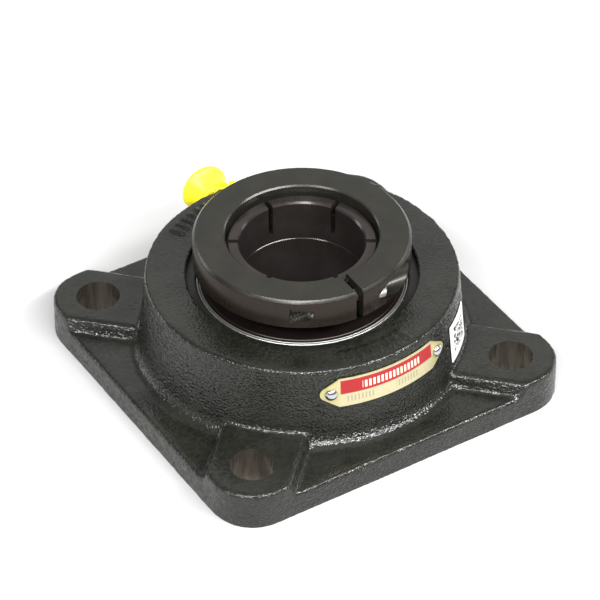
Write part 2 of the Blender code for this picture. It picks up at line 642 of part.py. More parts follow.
def make_tether():
    """Flexible strap from a ring round the fitting's neck to the cap's edge."""
    inside = FITTING_HEAD_R + GAP + CAP_WALL + GAP
    outside = inside + TETHER_WIDTH / 2
    tall = TETHER_RING_TALL
    ring = turned("cap_tether", [(outside, tall), (outside, 0.0), (inside, 0.0), (inside, tall)], 24)
    ring.location = (0.0, CAP_Y, FITTING_Z)
    ring.rotation_euler = (-math.pi / 2, 0.0, 0.0)
    strap = bpy.data.curves.new("strap", "CURVE")
    strap.dimensions = "2D"
    strap.fill_mode = "BOTH"
    strap.extrude = TETHER_WIDTH / 2
    head_y = CAP_Y + FITTING_HEAD_LENGTH
    bend = (head_y - CAP_Y) / 2
    centre = (CAP_R + TETHER_CLEARANCE, CAP_Y + bend)
    outer = arc(centre, bend + TETHER_THICKNESS / 2, -90, 90, 8)
    inner = arc(centre, bend - TETHER_THICKNESS / 2, 90, -90, 8)
    start = (outside - TETHER_ROOT, CAP_Y)
    points = [(start[0], outer[0][1])] + outer + inner + [(start[0], inner[-1][1])]
    spline = strap.splines.new("POLY")
    spline.points.add(len(points) - 1)
    for point, (x, y) in zip(spline.points, points):
        point.co = (x, y + TETHER_THICKNESS / 2 + 0.0001, 0.0, 1.0)
    spline.use_cyclic_u = True
    outline = add_object("strap_outline", strap, CUTTERS)
    outline.location = (0.0, 0.0, FITTING_Z)
    bpy.context.view_layer.update()
    evaluated = outline.evaluated_get(bpy.context.evaluated_depsgraph_get())
    bm = bmesh.new()
    bm.from_mesh(bpy.data.meshes.new_from_object(evaluated))
    bmesh.ops.remove_doubles(bm, verts=bm.verts, dist=0.00001)
    band = from_bmesh("tether_strap", bm, CUTTERS)
    band.matrix_world = outline.matrix_world
    bpy.data.objects.remove(outline, do_unlink=True)
    boolean(ring, band, "UNION")
    return finish(ring, (0.90, 0.80, 0.03), 0.45, 0.0)


# ---------------------------------------------------------------- nameplate and label
def rivet_z():
    return PLATE_LOW + PLATE_TALL / 2


def rivet_r():
    """Radius of the nameplate's outer face at the rivets."""
    return wall_r(rivet_z()) + GAP + PLATE_SHEET


def rivet_angle(side):
    return PLATE_ANGLE + side * (PLATE_SPAN / 2 - wall_angle(RIVET_INSET, PLATE_LOW))


def make_nameplate():
    """Long six-sided plate wrapped on the hub's wall, held by two drive rivets."""
    plate = wrapped("nameplate", PLATE_LOW, PLATE_TALL, PLATE_ANGLE, PLATE_SPAN, PLATE_SHEET, 24)
    reach = wall_r(PLATE_LOW) + 2 * PLATE_SHEET
    end = reach * math.sin(math.radians(PLATE_SPAN / 2))
    flat = reach * math.sin(math.radians(PLATE_SPAN / 2 - wall_angle(PLATE_TIP, PLATE_LOW)))
    tall = PLATE_TALL / 2 + GAP
    bm = bmesh.new()
    shape = [(flat, tall), (end, PLATE_TIP_TALL / 2), (end, -PLATE_TIP_TALL / 2), (flat, -tall)]
    shape += [(-x, z) for x, z in reversed(shape)]
    near = [bm.verts.new((x, 0.0, z)) for x, z in shape]
    face = bm.faces.new(near)
    pulled = bmesh.ops.extrude_face_region(bm, geom=[face])["geom"]
    moved = [v for v in pulled if isinstance(v, bmesh.types.BMVert)]
    bmesh.ops.translate(bm, verts=moved, vec=(0.0, -2 * reach, 0.0))
    outline = from_bmesh("plate_outline", bm, CUTTERS)
    outline.location = (0.0, 0.0, rivet_z())
    outline.rotation_euler = (0.0, 0.0, math.radians(PLATE_ANGLE + 90))
    boolean(plate, outline, "INTERSECT")
    for side, name in ((-1, "left"), (1, "right")):
        angle = rivet_angle(side)
        start = polar(rivet_r() - 0.005, angle, rivet_z())
        hole = rod(f"plate_hole_{name}", RIVET_SHANK_R + GAP, 0.01, start, polar(1, angle), 12, CUTTERS)
        boolean(plate, hole)
    finish(plate, (0.80, 0.66, 0.36), 0.3)
    for side, name in ((-1, "left"), (1, "right")):
        profile = [(0.0, RIVET_HEAD_TALL)]
        profile += arc((0.0, 0.0), 1.0, 60, 0, 2)
        profile = [profile[0]] + [(r * RIVET_HEAD_R, z * RIVET_HEAD_TALL) for r, z in profile[1:]]
        profile += [(RIVET_SHANK_R, 0.0), (RIVET_SHANK_R, -RIVET_SHANK_LENGTH)]
        profile += [(0.0, -RIVET_SHANK_LENGTH)]
        rivet = turned(f"nameplate_rivet_{name}", profile, 16)
        angle = rivet_angle(side)
        rivet.location = polar(rivet_r() + GAP, angle, rivet_z())
        rivet.rotation_euler = polar(1, angle).to_track_quat("Z", "Y").to_euler()
        finish(rivet, (0.75, 0.75, 0.76), 0.2)


def make_label():
    """Thin printed label wrapped on the hub's wall."""
    label = wrapped("code_label", LABEL_LOW, LABEL_TALL, LABEL_ANGLE, LABEL_SPAN, LABEL_SHEET, 8)
    return finish(label, (0.88, 0.88, 0.86), 0.5, 0.0)


# ---------------------------------------------------------------- the whole bearing
clear_scene()
PARTS = new_collection("flange_mount_bearing")
CUTTERS = new_collection("cutters")
make_housing()
make_outer_ring()
make_inner_ring()
make_cage()
make_balls()
make_seals("front", 1)
make_seals("back", -1)
make_collar()
make_fitting()
make_cap()
make_tether()
make_nameplate()
make_label()
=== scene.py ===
# %% [markdown]
# # Finishing a flange-mounted ball bearing
# The working model of the bearing is loaded first and never moved.  Each cell
# then makes one real piece over it: the sand-cast housing, the rings, balls and
# seals of the insert, the split clamp collar and its screw, the grease fitting
# with its yellow cap, and the riveted nameplate.  The model stands on its
# mounting face with the shaft pointing up +Z.

# %% Load the frame
import math

import bmesh
import bpy
from mathutils import Matrix, Vector, noise


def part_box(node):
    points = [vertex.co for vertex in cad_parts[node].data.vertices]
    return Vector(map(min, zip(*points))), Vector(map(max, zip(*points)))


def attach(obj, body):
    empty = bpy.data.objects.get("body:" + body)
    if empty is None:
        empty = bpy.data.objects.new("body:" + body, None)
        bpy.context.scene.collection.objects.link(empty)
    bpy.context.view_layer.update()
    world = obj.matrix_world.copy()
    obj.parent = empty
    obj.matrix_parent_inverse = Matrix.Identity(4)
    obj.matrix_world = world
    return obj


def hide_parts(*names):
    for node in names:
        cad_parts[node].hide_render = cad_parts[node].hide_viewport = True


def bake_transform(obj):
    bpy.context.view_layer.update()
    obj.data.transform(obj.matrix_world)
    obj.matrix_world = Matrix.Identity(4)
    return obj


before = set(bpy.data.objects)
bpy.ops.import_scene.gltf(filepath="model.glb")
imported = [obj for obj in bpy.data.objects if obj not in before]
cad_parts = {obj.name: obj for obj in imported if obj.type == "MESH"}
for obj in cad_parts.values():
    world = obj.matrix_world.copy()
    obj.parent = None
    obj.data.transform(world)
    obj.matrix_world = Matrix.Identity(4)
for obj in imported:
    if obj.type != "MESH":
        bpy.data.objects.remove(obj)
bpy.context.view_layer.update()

MM = 0.001
GAP = 0.3 * MM          # the clearance that the working model keeps between pieces
print("pieces in the frame:", len(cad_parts))

# %% [markdown]
# ## Sizes
# A maker reads sizes off the drawing once and then works from them.  Here the
# drawing is the frame: each piece's box gives its radius and its height.  Only
# what a box can't tell, such as a hole's radius or a slot's width, is a number.

# %% Sizes read from the frame
flange_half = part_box("housing")[1].x
collar_low, collar_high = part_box("lock_collar")
ring_low, ring_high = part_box("inner_ring")
outer_low, outer_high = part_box("outer_ring")
cage_low, cage_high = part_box("cage")
plate_low, plate_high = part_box("nameplate")
disc_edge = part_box("front_flinger")[1].x

INSERT_Z = (outer_low.z + outer_high.z) / 2
OUTER_R = outer_high.x
BALL_R = (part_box("ball_05")[1].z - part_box("ball_05")[0].z) / 2
PITCH_R = -(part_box("ball_05")[0].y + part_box("ball_05")[1].y) / 2
GROOVE_R = BALL_R + GAP
COLLAR_R = collar_high.x
HUB_TOP = 39.3 * MM
HUB_R = OUTER_R + 11.9 * MM
HUB_DRAFT = 0.099
SEAT_R = OUTER_R + GAP
MOUTH_R = OUTER_R - 2.2 * MM
HOLE_AT = 52.4 * MM
HOLE_R = 7.75 * MM
PLATE_TOP = 9.3 * MM
PAD_TOP = 14.2 * MM
SHAFT_R = 21.43 * MM
RING_R = 26.0 * MM
print(f"insert centre {INSERT_Z / MM:.1f} mm, ball {BALL_R / MM:.2f} mm, pitch {PITCH_R / MM:.2f} mm")

# %% [markdown]
# ## Mesh helpers
# Nearly every piece of a bearing is turned on a lathe, so the main helper spins
# a profile once round the axis.  Holes and slots are milled afterwards, which
# here is a Boolean with a throwaway cutter.  Every piece is modelled where it
# belongs, so its object stays at the origin.

# %% Mesh helpers
def polar(radius, degrees, z=0.0):
    """A point given by its radius and its angle about Z."""
    a = math.radians(degrees)
    return Vector((radius * math.cos(a), radius * math.sin(a), z))


def arc(centre, radius, start, end, count):
    """Points (r, z) along an arc, angles in degrees from the +r direction."""
    steps = [math.radians(start + (end - start) * i / count) for i in range(count + 1)]
    return [(centre[0] + radius * math.cos(a), centre[1] + radius * math.sin(a)) for a in steps]


def tidy(bm):
    """Merge doubles and point every face outwards."""
    bmesh.ops.remove_doubles(bm, verts=bm.verts, dist=0.000002)
    bmesh.ops.recalc_face_normals(bm, faces=bm.faces)
    return bm


def turned(profile, steps=160):
    """Spin a profile of (radius, z) points once round Z.

    It is closed into a loop unless it starts and ends on the axis.
    """
    bm = bmesh.new()
    corners = [bm.verts.new((r, 0.0, z)) for r, z in profile]
    pairs = list(zip(corners, corners[1:]))
    if profile[0][0] > 0.0:
        pairs.append((corners[-1], corners[0]))
    edges = [bm.edges.new(pair) for pair in pairs]
    bmesh.ops.spin(bm, geom=corners + edges, cent=(0, 0, 0), axis=(0, 0, 1),
                   angle=math.tau, steps=steps, use_merge=True)
    return tidy(bm)


def prism(outline, low, high):
    """Pull a flat outline of (x, y) points up from one height to another."""
    bm = bmesh.new()
    face = bm.faces.new([bm.verts.new((x, y, low)) for x, y in outline])
    pulled = bmesh.ops.extrude_face_region(bm, geom=[face])["geom"]
    top = [v for v in pulled if isinstance(v, bmesh.types.BMVert)]
    bmesh.ops.translate(bm, verts=top, vec=(0, 0, high - low))
    return tidy(bm)


def block(size, centre, turn=0.0):
    """A box, turned about Z by some degrees."""
    bm = bmesh.new()
    place = Matrix.Translation(centre) @ Matrix.Rotation(math.radians(turn), 4, "Z")
    bmesh.ops.create_cube(bm, size=1.0, matrix=place @ Matrix.Diagonal((*size, 1.0)))
    return bm


def along(direction, start):
    """The turn and shift that lay a piece's +Z on a direction from a start point."""
    turn = Vector(direction).to_track_quat("Z", "Y").to_matrix().to_4x4()
    return Matrix.Translation(start) @ turn


def rod(radius, start, direction, length, segments=48):
    """A cylinder from a start point along a direction."""
    bm = bmesh.new()
    bmesh.ops.create_cone(bm, cap_ends=True, segments=segments, radius1=radius, radius2=radius,
                          depth=length, matrix=Matrix.Translation((0, 0, length / 2)))
    bmesh.ops.transform(bm, matrix=along(direction, start), verts=bm.verts)
    return bm


def to_object(name, bm):
    mesh = bpy.data.meshes.new(name)
    bm.to_mesh(mesh)
    bm.free()
    obj = bpy.data.objects.new(name, mesh)
    bpy.context.scene.collection.objects.link(obj)
    return obj


def evaluated(obj):
    """The object's mesh with its modifiers applied, as a bmesh; the object is removed."""
    bpy.context.view_layer.update()
    mesh = bpy.data.meshes.new_from_object(obj.evaluated_get(bpy.context.evaluated_depsgraph_get()))
    bm = bmesh.new()
    bm.from_mesh(mesh)
    bpy.data.objects.remove(obj, do_unlink=True)
    return bm


def gather(parts):
    """Several meshes in one."""
    whole = bmesh.new()
    for part in parts:
        mesh = bpy.data.meshes.new("part")
        part.to_mesh(mesh)
        part.free()
        whole.from_mesh(mesh)
        bpy.data.meshes.remove(mesh)
    return whole


def machined(bm, *cutters, operation="DIFFERENCE", solver="MANIFOLD"):
    """Cut, join or trim a closed mesh with others, one after another."""
    for cutter in cutters:
        work, tool = to_object("work", bm), to_object("tool", cutter)
        step = work.modifiers.new("cut", "BOOLEAN")
        step.operation = operation
        step.solver = solver
        step.object = tool
        bm = evaluated(work)
        bpy.data.objects.remove(tool, do_unlink=True)
    return bm


def piece(name, bm, finish, body, node=None, sharp=32.0):
    """Finish a mesh as a piece that rides on a body and stands for its CAD node."""
    obj = to_object(name, bm)
    obj.data.shade_smooth()
    obj.data.set_sharp_from_angle(angle=math.radians(sharp))
    for material in finish if isinstance(finish, list) else [finish]:
        obj.data.materials.append(material)
    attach(obj, body)
    if node:
        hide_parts(node)
    print(f"{name}: {len(obj.data.polygons)} faces")
    return obj


# %% [markdown]
# ## Material helpers
# Each finish below is a Principled shader fed by a few noises on Object
# coordinates, so the pattern stays fixed to the metal as the piece turns.

# %% Material helpers
def new_finish(name, colour, roughness, metallic=0.0):
    material = bpy.data.materials.new(name)
    material.use_nodes = True
    shader = material.node_tree.nodes["Principled BSDF"]
    shader.inputs["Base Color"].default_value = (*colour, 1.0)
    shader.inputs["Roughness"].default_value = roughness
    shader.inputs["Metallic"].default_value = metallic
    return material


def shader_of(material):
    return material.node_tree.nodes["Principled BSDF"]


def add_node(material, kind, inputs=None, **settings):
    made = material.node_tree.nodes.new(kind)
    for key, value in settings.items():
        setattr(made, key, value)
    for key, value in (inputs or {}).items():
        if isinstance(value, bpy.types.NodeSocket):
            material.node_tree.links.new(value, made.inputs[key])
        else:
            made.inputs[key].default_value = value
    return made


def join(material, source, socket):
    material.node_tree.links.new(source, shader_of(material).inputs[socket])


def place_on(material):
    return add_node(material, "ShaderNodeTexCoord").outputs["Object"]


def grain(material, where, size, detail=3.0, stretch=None):
    """Noise whose lumps are about as large as the given size in metres."""
    if stretch:
        stretched = add_node(material, "ShaderNodeMapping", {"Vector": where, "Scale": stretch})
        where = stretched.outputs["Vector"]
    made = add_node(material, "ShaderNodeTexNoise",
                    {"Vector": where, "Scale": 1.0 / size, "Detail": detail, "Roughness": 0.55})
    return made.outputs["Fac"]


def band(material, value, low, high, to_low=0.0, to_high=1.0):
    made = add_node(material, "ShaderNodeMapRange", {0: value, 1: low, 2: high, 3: to_low, 4: to_high})
    return made.outputs[0]


def sums(material, operation, a, b=0.0, c=0.0):
    return add_node(material, "ShaderNodeMath", {0: a, 1: b, 2: c}, operation=operation).outputs[0]


def two_tone(material, factor, first, second):
    made = add_node(material, "ShaderNodeMix", {"Factor": factor}, data_type="RGBA")
    for socket, colour in ((made.inputs[6], first), (made.inputs[7], second)):
        if isinstance(colour, bpy.types.NodeSocket):
            material.node_tree.links.new(colour, socket)
        else:
            socket.default_value = (*colour, 1.0)
    return made.outputs[2]


def relief(material, height, depth, under=None):
    """Bump from a height of 0 to 1 that is a given depth in metres."""
    inputs = {"Height": height, "Distance": depth, "Strength": 1.0}
    if under:
        inputs["Normal"] = under
    return add_node(material, "ShaderNodeBump", inputs).outputs["Normal"]


def radius_in(material, where):
    """Distance from the shaft axis."""
    split = add_node(material, "ShaderNodeSeparateXYZ", {"Vector": where})
    flat = add_node(material, "ShaderNodeCombineXYZ",
                    {"X": split.outputs["X"], "Y": split.outputs["Y"]}).outputs["Vector"]
    return add_node(material, "ShaderNodeVectorMath", {0: flat}, operation="LENGTH").outputs["Value"]


def height_in(material, where):
    return add_node(material, "ShaderNodeSeparateXYZ", {"Vector": where}).outputs["Z"]


# %% [markdown]
# ## Enamel over a sand casting
# The housing is dipped in black enamel.  The sand mould leaves a pebbled skin
# under it, strongest on the steep walls, where a real mesh relief is added
# further down.  The shader adds the finer orange peel, slight dust-grey
# patches, and paint worn thin on a few high spots.

# %% Enamel
def enamel_finish():
    m = new_finish("cast_enamel", (0.015, 0.0155, 0.014), 0.22)
    where = place_on(m)
    facing_up = add_node(m, "ShaderNodeSeparateXYZ",
                         {"Vector": add_node(m, "ShaderNodeNewGeometry").outputs["Normal"]}).outputs["Z"]
    steep = band(m, sums(m, "ABSOLUTE", facing_up), 0.35, 0.95, 1.0, 0.0)
    patches = grain(m, where, 14 * MM, 4.0)
    fine = grain(m, where, 0.6 * MM, 2.0)
    dusty = sums(m, "MULTIPLY_ADD", patches, 0.5, sums(m, "MULTIPLY", grain(m, where, 1.4 * MM, 2.0), 0.5))
    colour = two_tone(m, band(m, dusty, 0.40, 0.60), (0.0058, 0.0061, 0.0046), (0.0140, 0.0147, 0.0107))
    specks = band(m, grain(m, where, 0.55 * MM, 1.0), 0.76, 0.82)
    join(m, two_tone(m, sums(m, "MULTIPLY", specks, 0.25), colour, (0.16, 0.16, 0.14)), "Base Color")
    rough = sums(m, "ADD", band(m, patches, 0.3, 0.7, 0.08, 0.14), band(m, fine, 0.3, 0.7, -0.015, 0.025))
    join(m, rough, "Roughness")
    skin = sums(m, "MULTIPLY", grain(m, where, 0.85 * MM, 1.0), band(m, steep, 0.0, 1.0, 0.3, 1.0))
    join(m, relief(m, fine, 0.045 * MM, relief(m, skin, 0.55 * MM)), "Normal")
    shader_of(m).inputs["Specular IOR Level"].default_value = 0.52
    return m


def bored_finish():
    """Bare iron where a drill or a boring bar has passed: brown-grey, with tool streaks."""
    m = new_finish("bored_iron", (0.30, 0.27, 0.23), 0.28, 0.85)
    where = place_on(m)
    streaks = grain(m, where, 2.2 * MM, 3.0, stretch=(1.0, 1.0, 0.12))
    colour = two_tone(m, band(m, streaks, 0.35, 0.65), (0.13, 0.112, 0.09), (0.23, 0.205, 0.17))
    join(m, colour, "Base Color")
    join(m, band(m, streaks, 0.3, 0.7, 0.22, 0.36), "Roughness")
    join(m, relief(m, grain(m, where, 0.9 * MM, 2.0, stretch=(1.0, 1.0, 3.0)), 0.012 * MM), "Normal")
    return m


# %% [markdown]
# ## Turned steel
# Rings, collar and flingers come off a lathe.  The tool leaves very fine rings
# that follow the radius on a face and the height on a wall, so the grooves are
# a sine of both.  Black oxide then colours the steel dark olive to brown.  On
# the collar the outside wall is given a darker brown than the faces: painted
# shade, standing for the dark reflection that wall shows.

# %% Turned steel
def turned_finish(name, dark, light, roughness, metallic=0.5, side=None, side_r=0.0):
    """Oxide-blacked turned steel; a second colour may take over beyond a radius."""
    m = new_finish(name, light, roughness, metallic)
    where = place_on(m)
    clouds = grain(m, where, 11 * MM, 4.0)
    colour = two_tone(m, band(m, clouds, 0.32, 0.68), dark, light)
    out = radius_in(m, where)
    if side:
        colour = two_tone(m, band(m, out, side_r - 0.1 * MM, side_r + 0.1 * MM), colour, side)
    join(m, colour, "Base Color")
    scuffs = grain(m, where, 1.6 * MM, 3.0)
    rough = sums(m, "ADD", band(m, clouds, 0.3, 0.7, roughness - 0.05, roughness + 0.05),
                 band(m, scuffs, 0.35, 0.7, -0.015, 0.025))
    join(m, rough, "Roughness")
    travel = sums(m, "ADD", out, height_in(m, where))
    rings = grain(m, add_node(m, "ShaderNodeCombineXYZ", {"X": travel}).outputs["Vector"], 0.7 * MM, 3.0)
    join(m, relief(m, rings, 0.003 * MM), "Normal")
    return m


def bright_finish(name, colour, roughness, tint=0.12):
    """Bright plated or ground metal with faint handling marks."""
    m = new_finish(name, colour, roughness, 1.0)
    where = place_on(m)
    marks = grain(m, where, 2.0 * MM, 5.0)
    darker = tuple(c * (1.0 - tint) for c in colour)
    join(m, two_tone(m, band(m, marks, 0.35, 0.65), darker, colour), "Base Color")
    join(m, band(m, marks, 0.3, 0.7, roughness * 0.8, roughness * 1.3), "Roughness")
    join(m, relief(m, grain(m, where, 0.6 * MM, 2.0), 0.004 * MM), "Normal")
    return m


# %% [markdown]
# ## Plastic, felt and print
# The grease cap is soft yellow plastic that lets some light through.  The felt
# is a mat of fibres.  The nameplate and the label are printed: their patterns
# sit on each sheet's own UV map, which runs from 0 to 1 along its length and
# its height, so they wrap with the sheet.

# %% Plastic, felt and print
def plastic_finish(name, colour, deep, roughness, light_through=0.25):
    m = new_finish(name, colour, roughness)
    where = place_on(m)
    cloud = grain(m, where, 5 * MM, 3.0)
    join(m, two_tone(m, band(m, cloud, 0.35, 0.65), deep, colour), "Base Color")
    join(m, band(m, cloud, 0.3, 0.7, roughness - 0.06, roughness + 0.08), "Roughness")
    join(m, relief(m, grain(m, where, 0.8 * MM, 2.0), 0.012 * MM), "Normal")
    shader = shader_of(m)
    shader.inputs["Subsurface Weight"].default_value = light_through
    shader.inputs["Subsurface Radius"].default_value = (0.004, 0.003, 0.0006)
    return m


def felt_finish():
    m = new_finish("oiled_felt", (0.16, 0.13, 0.09), 0.95)
    where = place_on(m)
    fibres = grain(m, where, 0.5 * MM, 5.0, stretch=(1.0, 1.0, 3.0))
    join(m, two_tone(m, band(m, fibres, 0.3, 0.7), (0.07, 0.055, 0.04), (0.24, 0.20, 0.14)), "Base Color")
    join(m, relief(m, fibres, 0.15 * MM), "Normal")
    return m


def uv_parts(material):
    uv = add_node(material, "ShaderNodeUVMap").outputs["UV"]
    split = add_node(material, "ShaderNodeSeparateXYZ", {"Vector": uv})
    return uv, split.outputs["X"], split.outputs["Y"]


def inside(material, value, low, high, soft=0.004):
    """1 between two values and 0 outside them, with a soft edge."""
    rise = band(material, value, low - soft, low + soft)
    fall = band(material, value, high - soft, high + soft, 1.0, 0.0)
    return sums(material, "MULTIPLY", rise, fall)


def bars(material, along_u, pitch, share):
    """1 on upright bars that repeat along a sheet, each a share of the pitch wide."""
    place = sums(material, "FRACT", sums(material, "DIVIDE", along_u, pitch))
    return inside(material, place, 0.5 - share / 2, 0.5 + share / 2, 0.06)


def nameplate_finish():
    """Pale gold sheet with a red band, a row of plain cream bars and two of stamped ones."""
    m = new_finish("printed_brass", (0.80, 0.72, 0.50), 0.3, 0.7)
    uv, u, v = uv_parts(m)
    where = place_on(m)
    brush = grain(m, where, 0.9 * MM, 3.0, stretch=(1.0, 1.0, 7.0))
    tips = inside(m, u, 0.125, 0.875, 0.03)
    gold = two_tone(m, band(m, brush, 0.3, 0.7), (0.46, 0.41, 0.235), (0.62, 0.565, 0.36))
    gold = two_tone(m, tips, two_tone(m, brush, (0.42, 0.38, 0.16), (0.56, 0.51, 0.26)), gold)
    red_area = sums(m, "MULTIPLY", inside(m, u, 0.137, 0.863, 0.003), inside(m, v, 0.45, 0.95, 0.015))
    row = sums(m, "MULTIPLY", inside(m, u, 0.29, 0.74, 0.002), inside(m, v, 0.55, 0.80, 0.012))
    cream = sums(m, "MULTIPLY", bars(m, u, 0.030, 0.55), row)
    low_row = sums(m, "MULTIPLY", sums(m, "MAXIMUM", inside(m, u, 0.17, 0.37), inside(m, u, 0.54, 0.72)),
                   inside(m, v, 0.14, 0.36, 0.012))
    stamped = sums(m, "MULTIPLY", bars(m, u, 0.025, 0.5), low_row)
    printed = two_tone(m, red_area, gold, (0.30, 0.007, 0.009))
    printed = two_tone(m, cream, printed, (0.88, 0.72, 0.50))
    printed = two_tone(m, sums(m, "MULTIPLY", stamped, 0.55), printed, (0.25, 0.24, 0.20))
    join(m, printed, "Base Color")
    join(m, band(m, red_area, 0.0, 1.0, 0.45, 0.0), "Metallic")
    join(m, band(m, brush, 0.3, 0.7, 0.28, 0.42), "Roughness")
    join(m, relief(m, sums(m, "SUBTRACT", 1.0, stamped), 0.03 * MM), "Normal")
    return m


def label_finish():
    """White paper label with a plain square of scattered dark cells."""
    m = new_finish("printed_label", (0.86, 0.86, 0.84), 0.45)
    uv, u, v = uv_parts(m)
    across = (26.0, 26.0, 1.0)
    cells = add_node(m, "ShaderNodeVectorMath", {0: uv, 1: across}, operation="MULTIPLY").outputs[0]
    cells = add_node(m, "ShaderNodeVectorMath", {0: cells}, operation="FLOOR").outputs[0]
    ink = add_node(m, "ShaderNodeTexWhiteNoise", {"Vector": cells}, noise_dimensions="3D").outputs["Value"]
    ink = band(m, ink, 0.45, 0.47)
    area = sums(m, "MULTIPLY", inside(m, u, 0.17, 0.83), inside(m, v, 0.20, 0.86))
    paper = two_tone(m, grain(m, place_on(m), 3 * MM), (0.80, 0.80, 0.77), (0.90, 0.90, 0.88))
    join(m, two_tone(m, sums(m, "MULTIPLY", ink, area), paper, (0.02, 0.02, 0.02)), "Base Color")
    join(m, relief(m, grain(m, place_on(m), 0.4 * MM), 0.01 * MM), "Normal")
    return m


ENAMEL = enamel_finish()
BORED = bored_finish()
# Collar: the side colour past side_r paints the outside wall a darker brown, which is painted shade.
COLLAR_OXIDE_AND_WALL_SHADE = turned_finish("collar_oxide_and_painted_wall_shade", (0.023, 0.0225, 0.018), (0.033, 0.032, 0.0255), 0.27,
                      side=(0.019, 0.013, 0.0092), side_r=COLLAR_R - 0.2 * MM)
RING_OXIDE = turned_finish("ring_oxide", (0.028, 0.023, 0.021), (0.040, 0.034, 0.032), 0.20)
OUTER_OXIDE = turned_finish("outer_ring_oxide", (0.020, 0.019, 0.018), (0.034, 0.032, 0.030), 0.36)
FLINGER_STEEL = turned_finish("flinger_oxide", (0.020, 0.014, 0.012), (0.030, 0.022, 0.019), 0.34, 0.7,
                              side=(0.26, 0.255, 0.245), side_r=disc_edge - 0.25 * MM)
SCREW_STEEL = bright_finish("screw_steel", (0.30, 0.29, 0.275), 0.42)
ZINC = bright_finish("bright_zinc", (0.62, 0.63, 0.62), 0.36, 0.05)
BALL_STEEL = bright_finish("ball_steel", (0.62, 0.62, 0.63), 0.10, 0.04)
PIN_STEEL = bright_finish("ground_pin", (0.45, 0.44, 0.42), 0.30)
FITTING_STEEL = bright_finish("plated_fitting", (0.70, 0.68, 0.60), 0.28)
RIVET_STEEL = bright_finish("rivet_steel", (0.62, 0.62, 0.64), 0.12, 0.05)
CAGE_PLASTIC = plastic_finish("cage_plastic", (0.58, 0.48, 0.31), (0.48, 0.39, 0.24), 0.5, 0.1)
YELLOW = plastic_finish("yellow_cap_plastic", (0.95, 0.86, 0.03), (0.88, 0.76, 0.02), 0.38)
FELT = felt_finish()
PRINTED_BRASS = nameplate_finish()
PRINTED_LABEL = label_finish()
print("finishes:", len(bpy.data.materials))

# %% [markdown]
# ## Camera, floor and light
# The bearing stands on a pale floor under soft studio light.  A long lens from
# well above the corner keeps the four sides of the flange almost parallel.

# %% Camera, floor and light
AIM = Vector((3.035, 6.237, 20.0)) * MM
CAMERA_FROM = (-32.07, 39.51)       # azimuth and elevation, degrees
CAMERA_DISTANCE = 1.1832
LENS = 202.36
ROLL = 0.14


def looking_from(azimuth, elevation, distance):
    """A place on a sphere round the aim point."""
    a, e = math.radians(azimuth), math.radians(elevation)
    back = Vector((math.sin(a) * math.cos(e), -math.cos(a) * math.cos(e), math.sin(e)))
    return AIM + back * distance


def facing(place, target, roll=0.0):
    turn = (target - place).to_track_quat("-Z", "Y").to_matrix().to_4x4()
    return Matrix.Translation(place) @ turn @ Matrix.Rotation(math.radians(roll), 4, "Z")


def softbox(name, azimuth, elevation, distance, size, power):
    data = bpy.data.lights.new(name, "AREA")
    data.shape = "RECTANGLE"
    data.size, data.size_y = size
    data.energy = power
    lamp = bpy.data.objects.new(name, data)
    bpy.context.scene.collection.objects.link(lamp)
    lamp.matrix_world = facing(looking_from(azimuth, elevation, distance), AIM)
    return lamp


camera_data = bpy.data.cameras.new("camera")
camera_data.lens = LENS
camera_data.sensor_width = 36.0
camera_data.clip_start = 0.05
camera = bpy.data.objects.new("camera", camera_data)
bpy.context.scene.collection.objects.link(camera)
camera.matrix_world = facing(looking_from(*CAMERA_FROM, CAMERA_DISTANCE), AIM, -ROLL)
bpy.context.scene.camera = camera
bpy.context.scene.view_settings.view_transform = "Standard"

floor_mesh = bmesh.new()
bmesh.ops.create_grid(floor_mesh, x_segments=1, y_segments=1, size=4.0)
bmesh.ops.translate(floor_mesh, verts=floor_mesh.verts, vec=(0, 0, -0.05 * MM))
floor = to_object("studio_floor", floor_mesh)
PALE = new_finish("pale_floor", (0.52, 0.52, 0.52), 0.9)
join(PALE, two_tone(PALE, grain(PALE, place_on(PALE), 0.2), (0.515, 0.515, 0.515), (0.525, 0.525, 0.525)),
     "Base Color")
floor.data.materials.append(PALE)

world = bpy.data.worlds.new("studio")
world.use_nodes = True
world.node_tree.nodes["Background"].inputs["Color"].default_value = (1.0, 1.0, 1.0, 1.0)
world.node_tree.nodes["Background"].inputs["Strength"].default_value = 0.35
bpy.context.scene.world = world
softbox("overhead", 20, 78, 1.7, (1.3, 1.3), 4.0)
softbox("front_strip", 6, 48, 1.7, (2.8, 0.2), 70.0)
softbox("front_left_strip", -60, 46, 1.7, (0.8, 0.2), 19.0)
softbox("left_strip", -84, 20, 1.7, (0.10, 0.6), 1.2)
softbox("right_low_strip", 92, 12, 1.7, (0.9, 0.22), 3.6)
softbox("left_low_strip", -148, 12, 1.7, (0.9, 0.22), 3.6)
softbox("back_panel", 150, 36, 1.7, (1.6, 1.0), 2.7)

# %% [markdown]
# ## The casting before machining
# A sand casting has no sharp corner: the pattern maker rounds edges and fills
# every inside corner so that the iron flows and the pattern draws.  So the raw
# shape is stacked from plain solids, melted together by a voxel remesh, and
# relaxed a little, which rounds and fillets everything at once.  The pebbled
# skin is then pushed into the mesh, mostly on the steep walls.

# %% The casting
VOXEL = 0.85 * MM
PAD_HALF = 14.3 * MM
PAD_DRAFT = 1.2 * MM
CORNER_R = 15.5 * MM
BELOW = 1.5 * MM            # stock under the mounting face, machined off below
STROKE_HEIGHT = 0.9 * MM
STROKE_FROM, STROKE_TO = 46.6 * MM, 50.6 * MM
STROKE_STEP = 4.0           # degrees from one bar to the next


def rounded_square(half, corner, count=8):
    points = []
    for quarter in range(4):
        middle = polar((half - corner) * math.sqrt(2), 45 + 90 * quarter)
        points += arc(middle[:2], corner, 90 * quarter, 90 * quarter + 90, count)
    return points


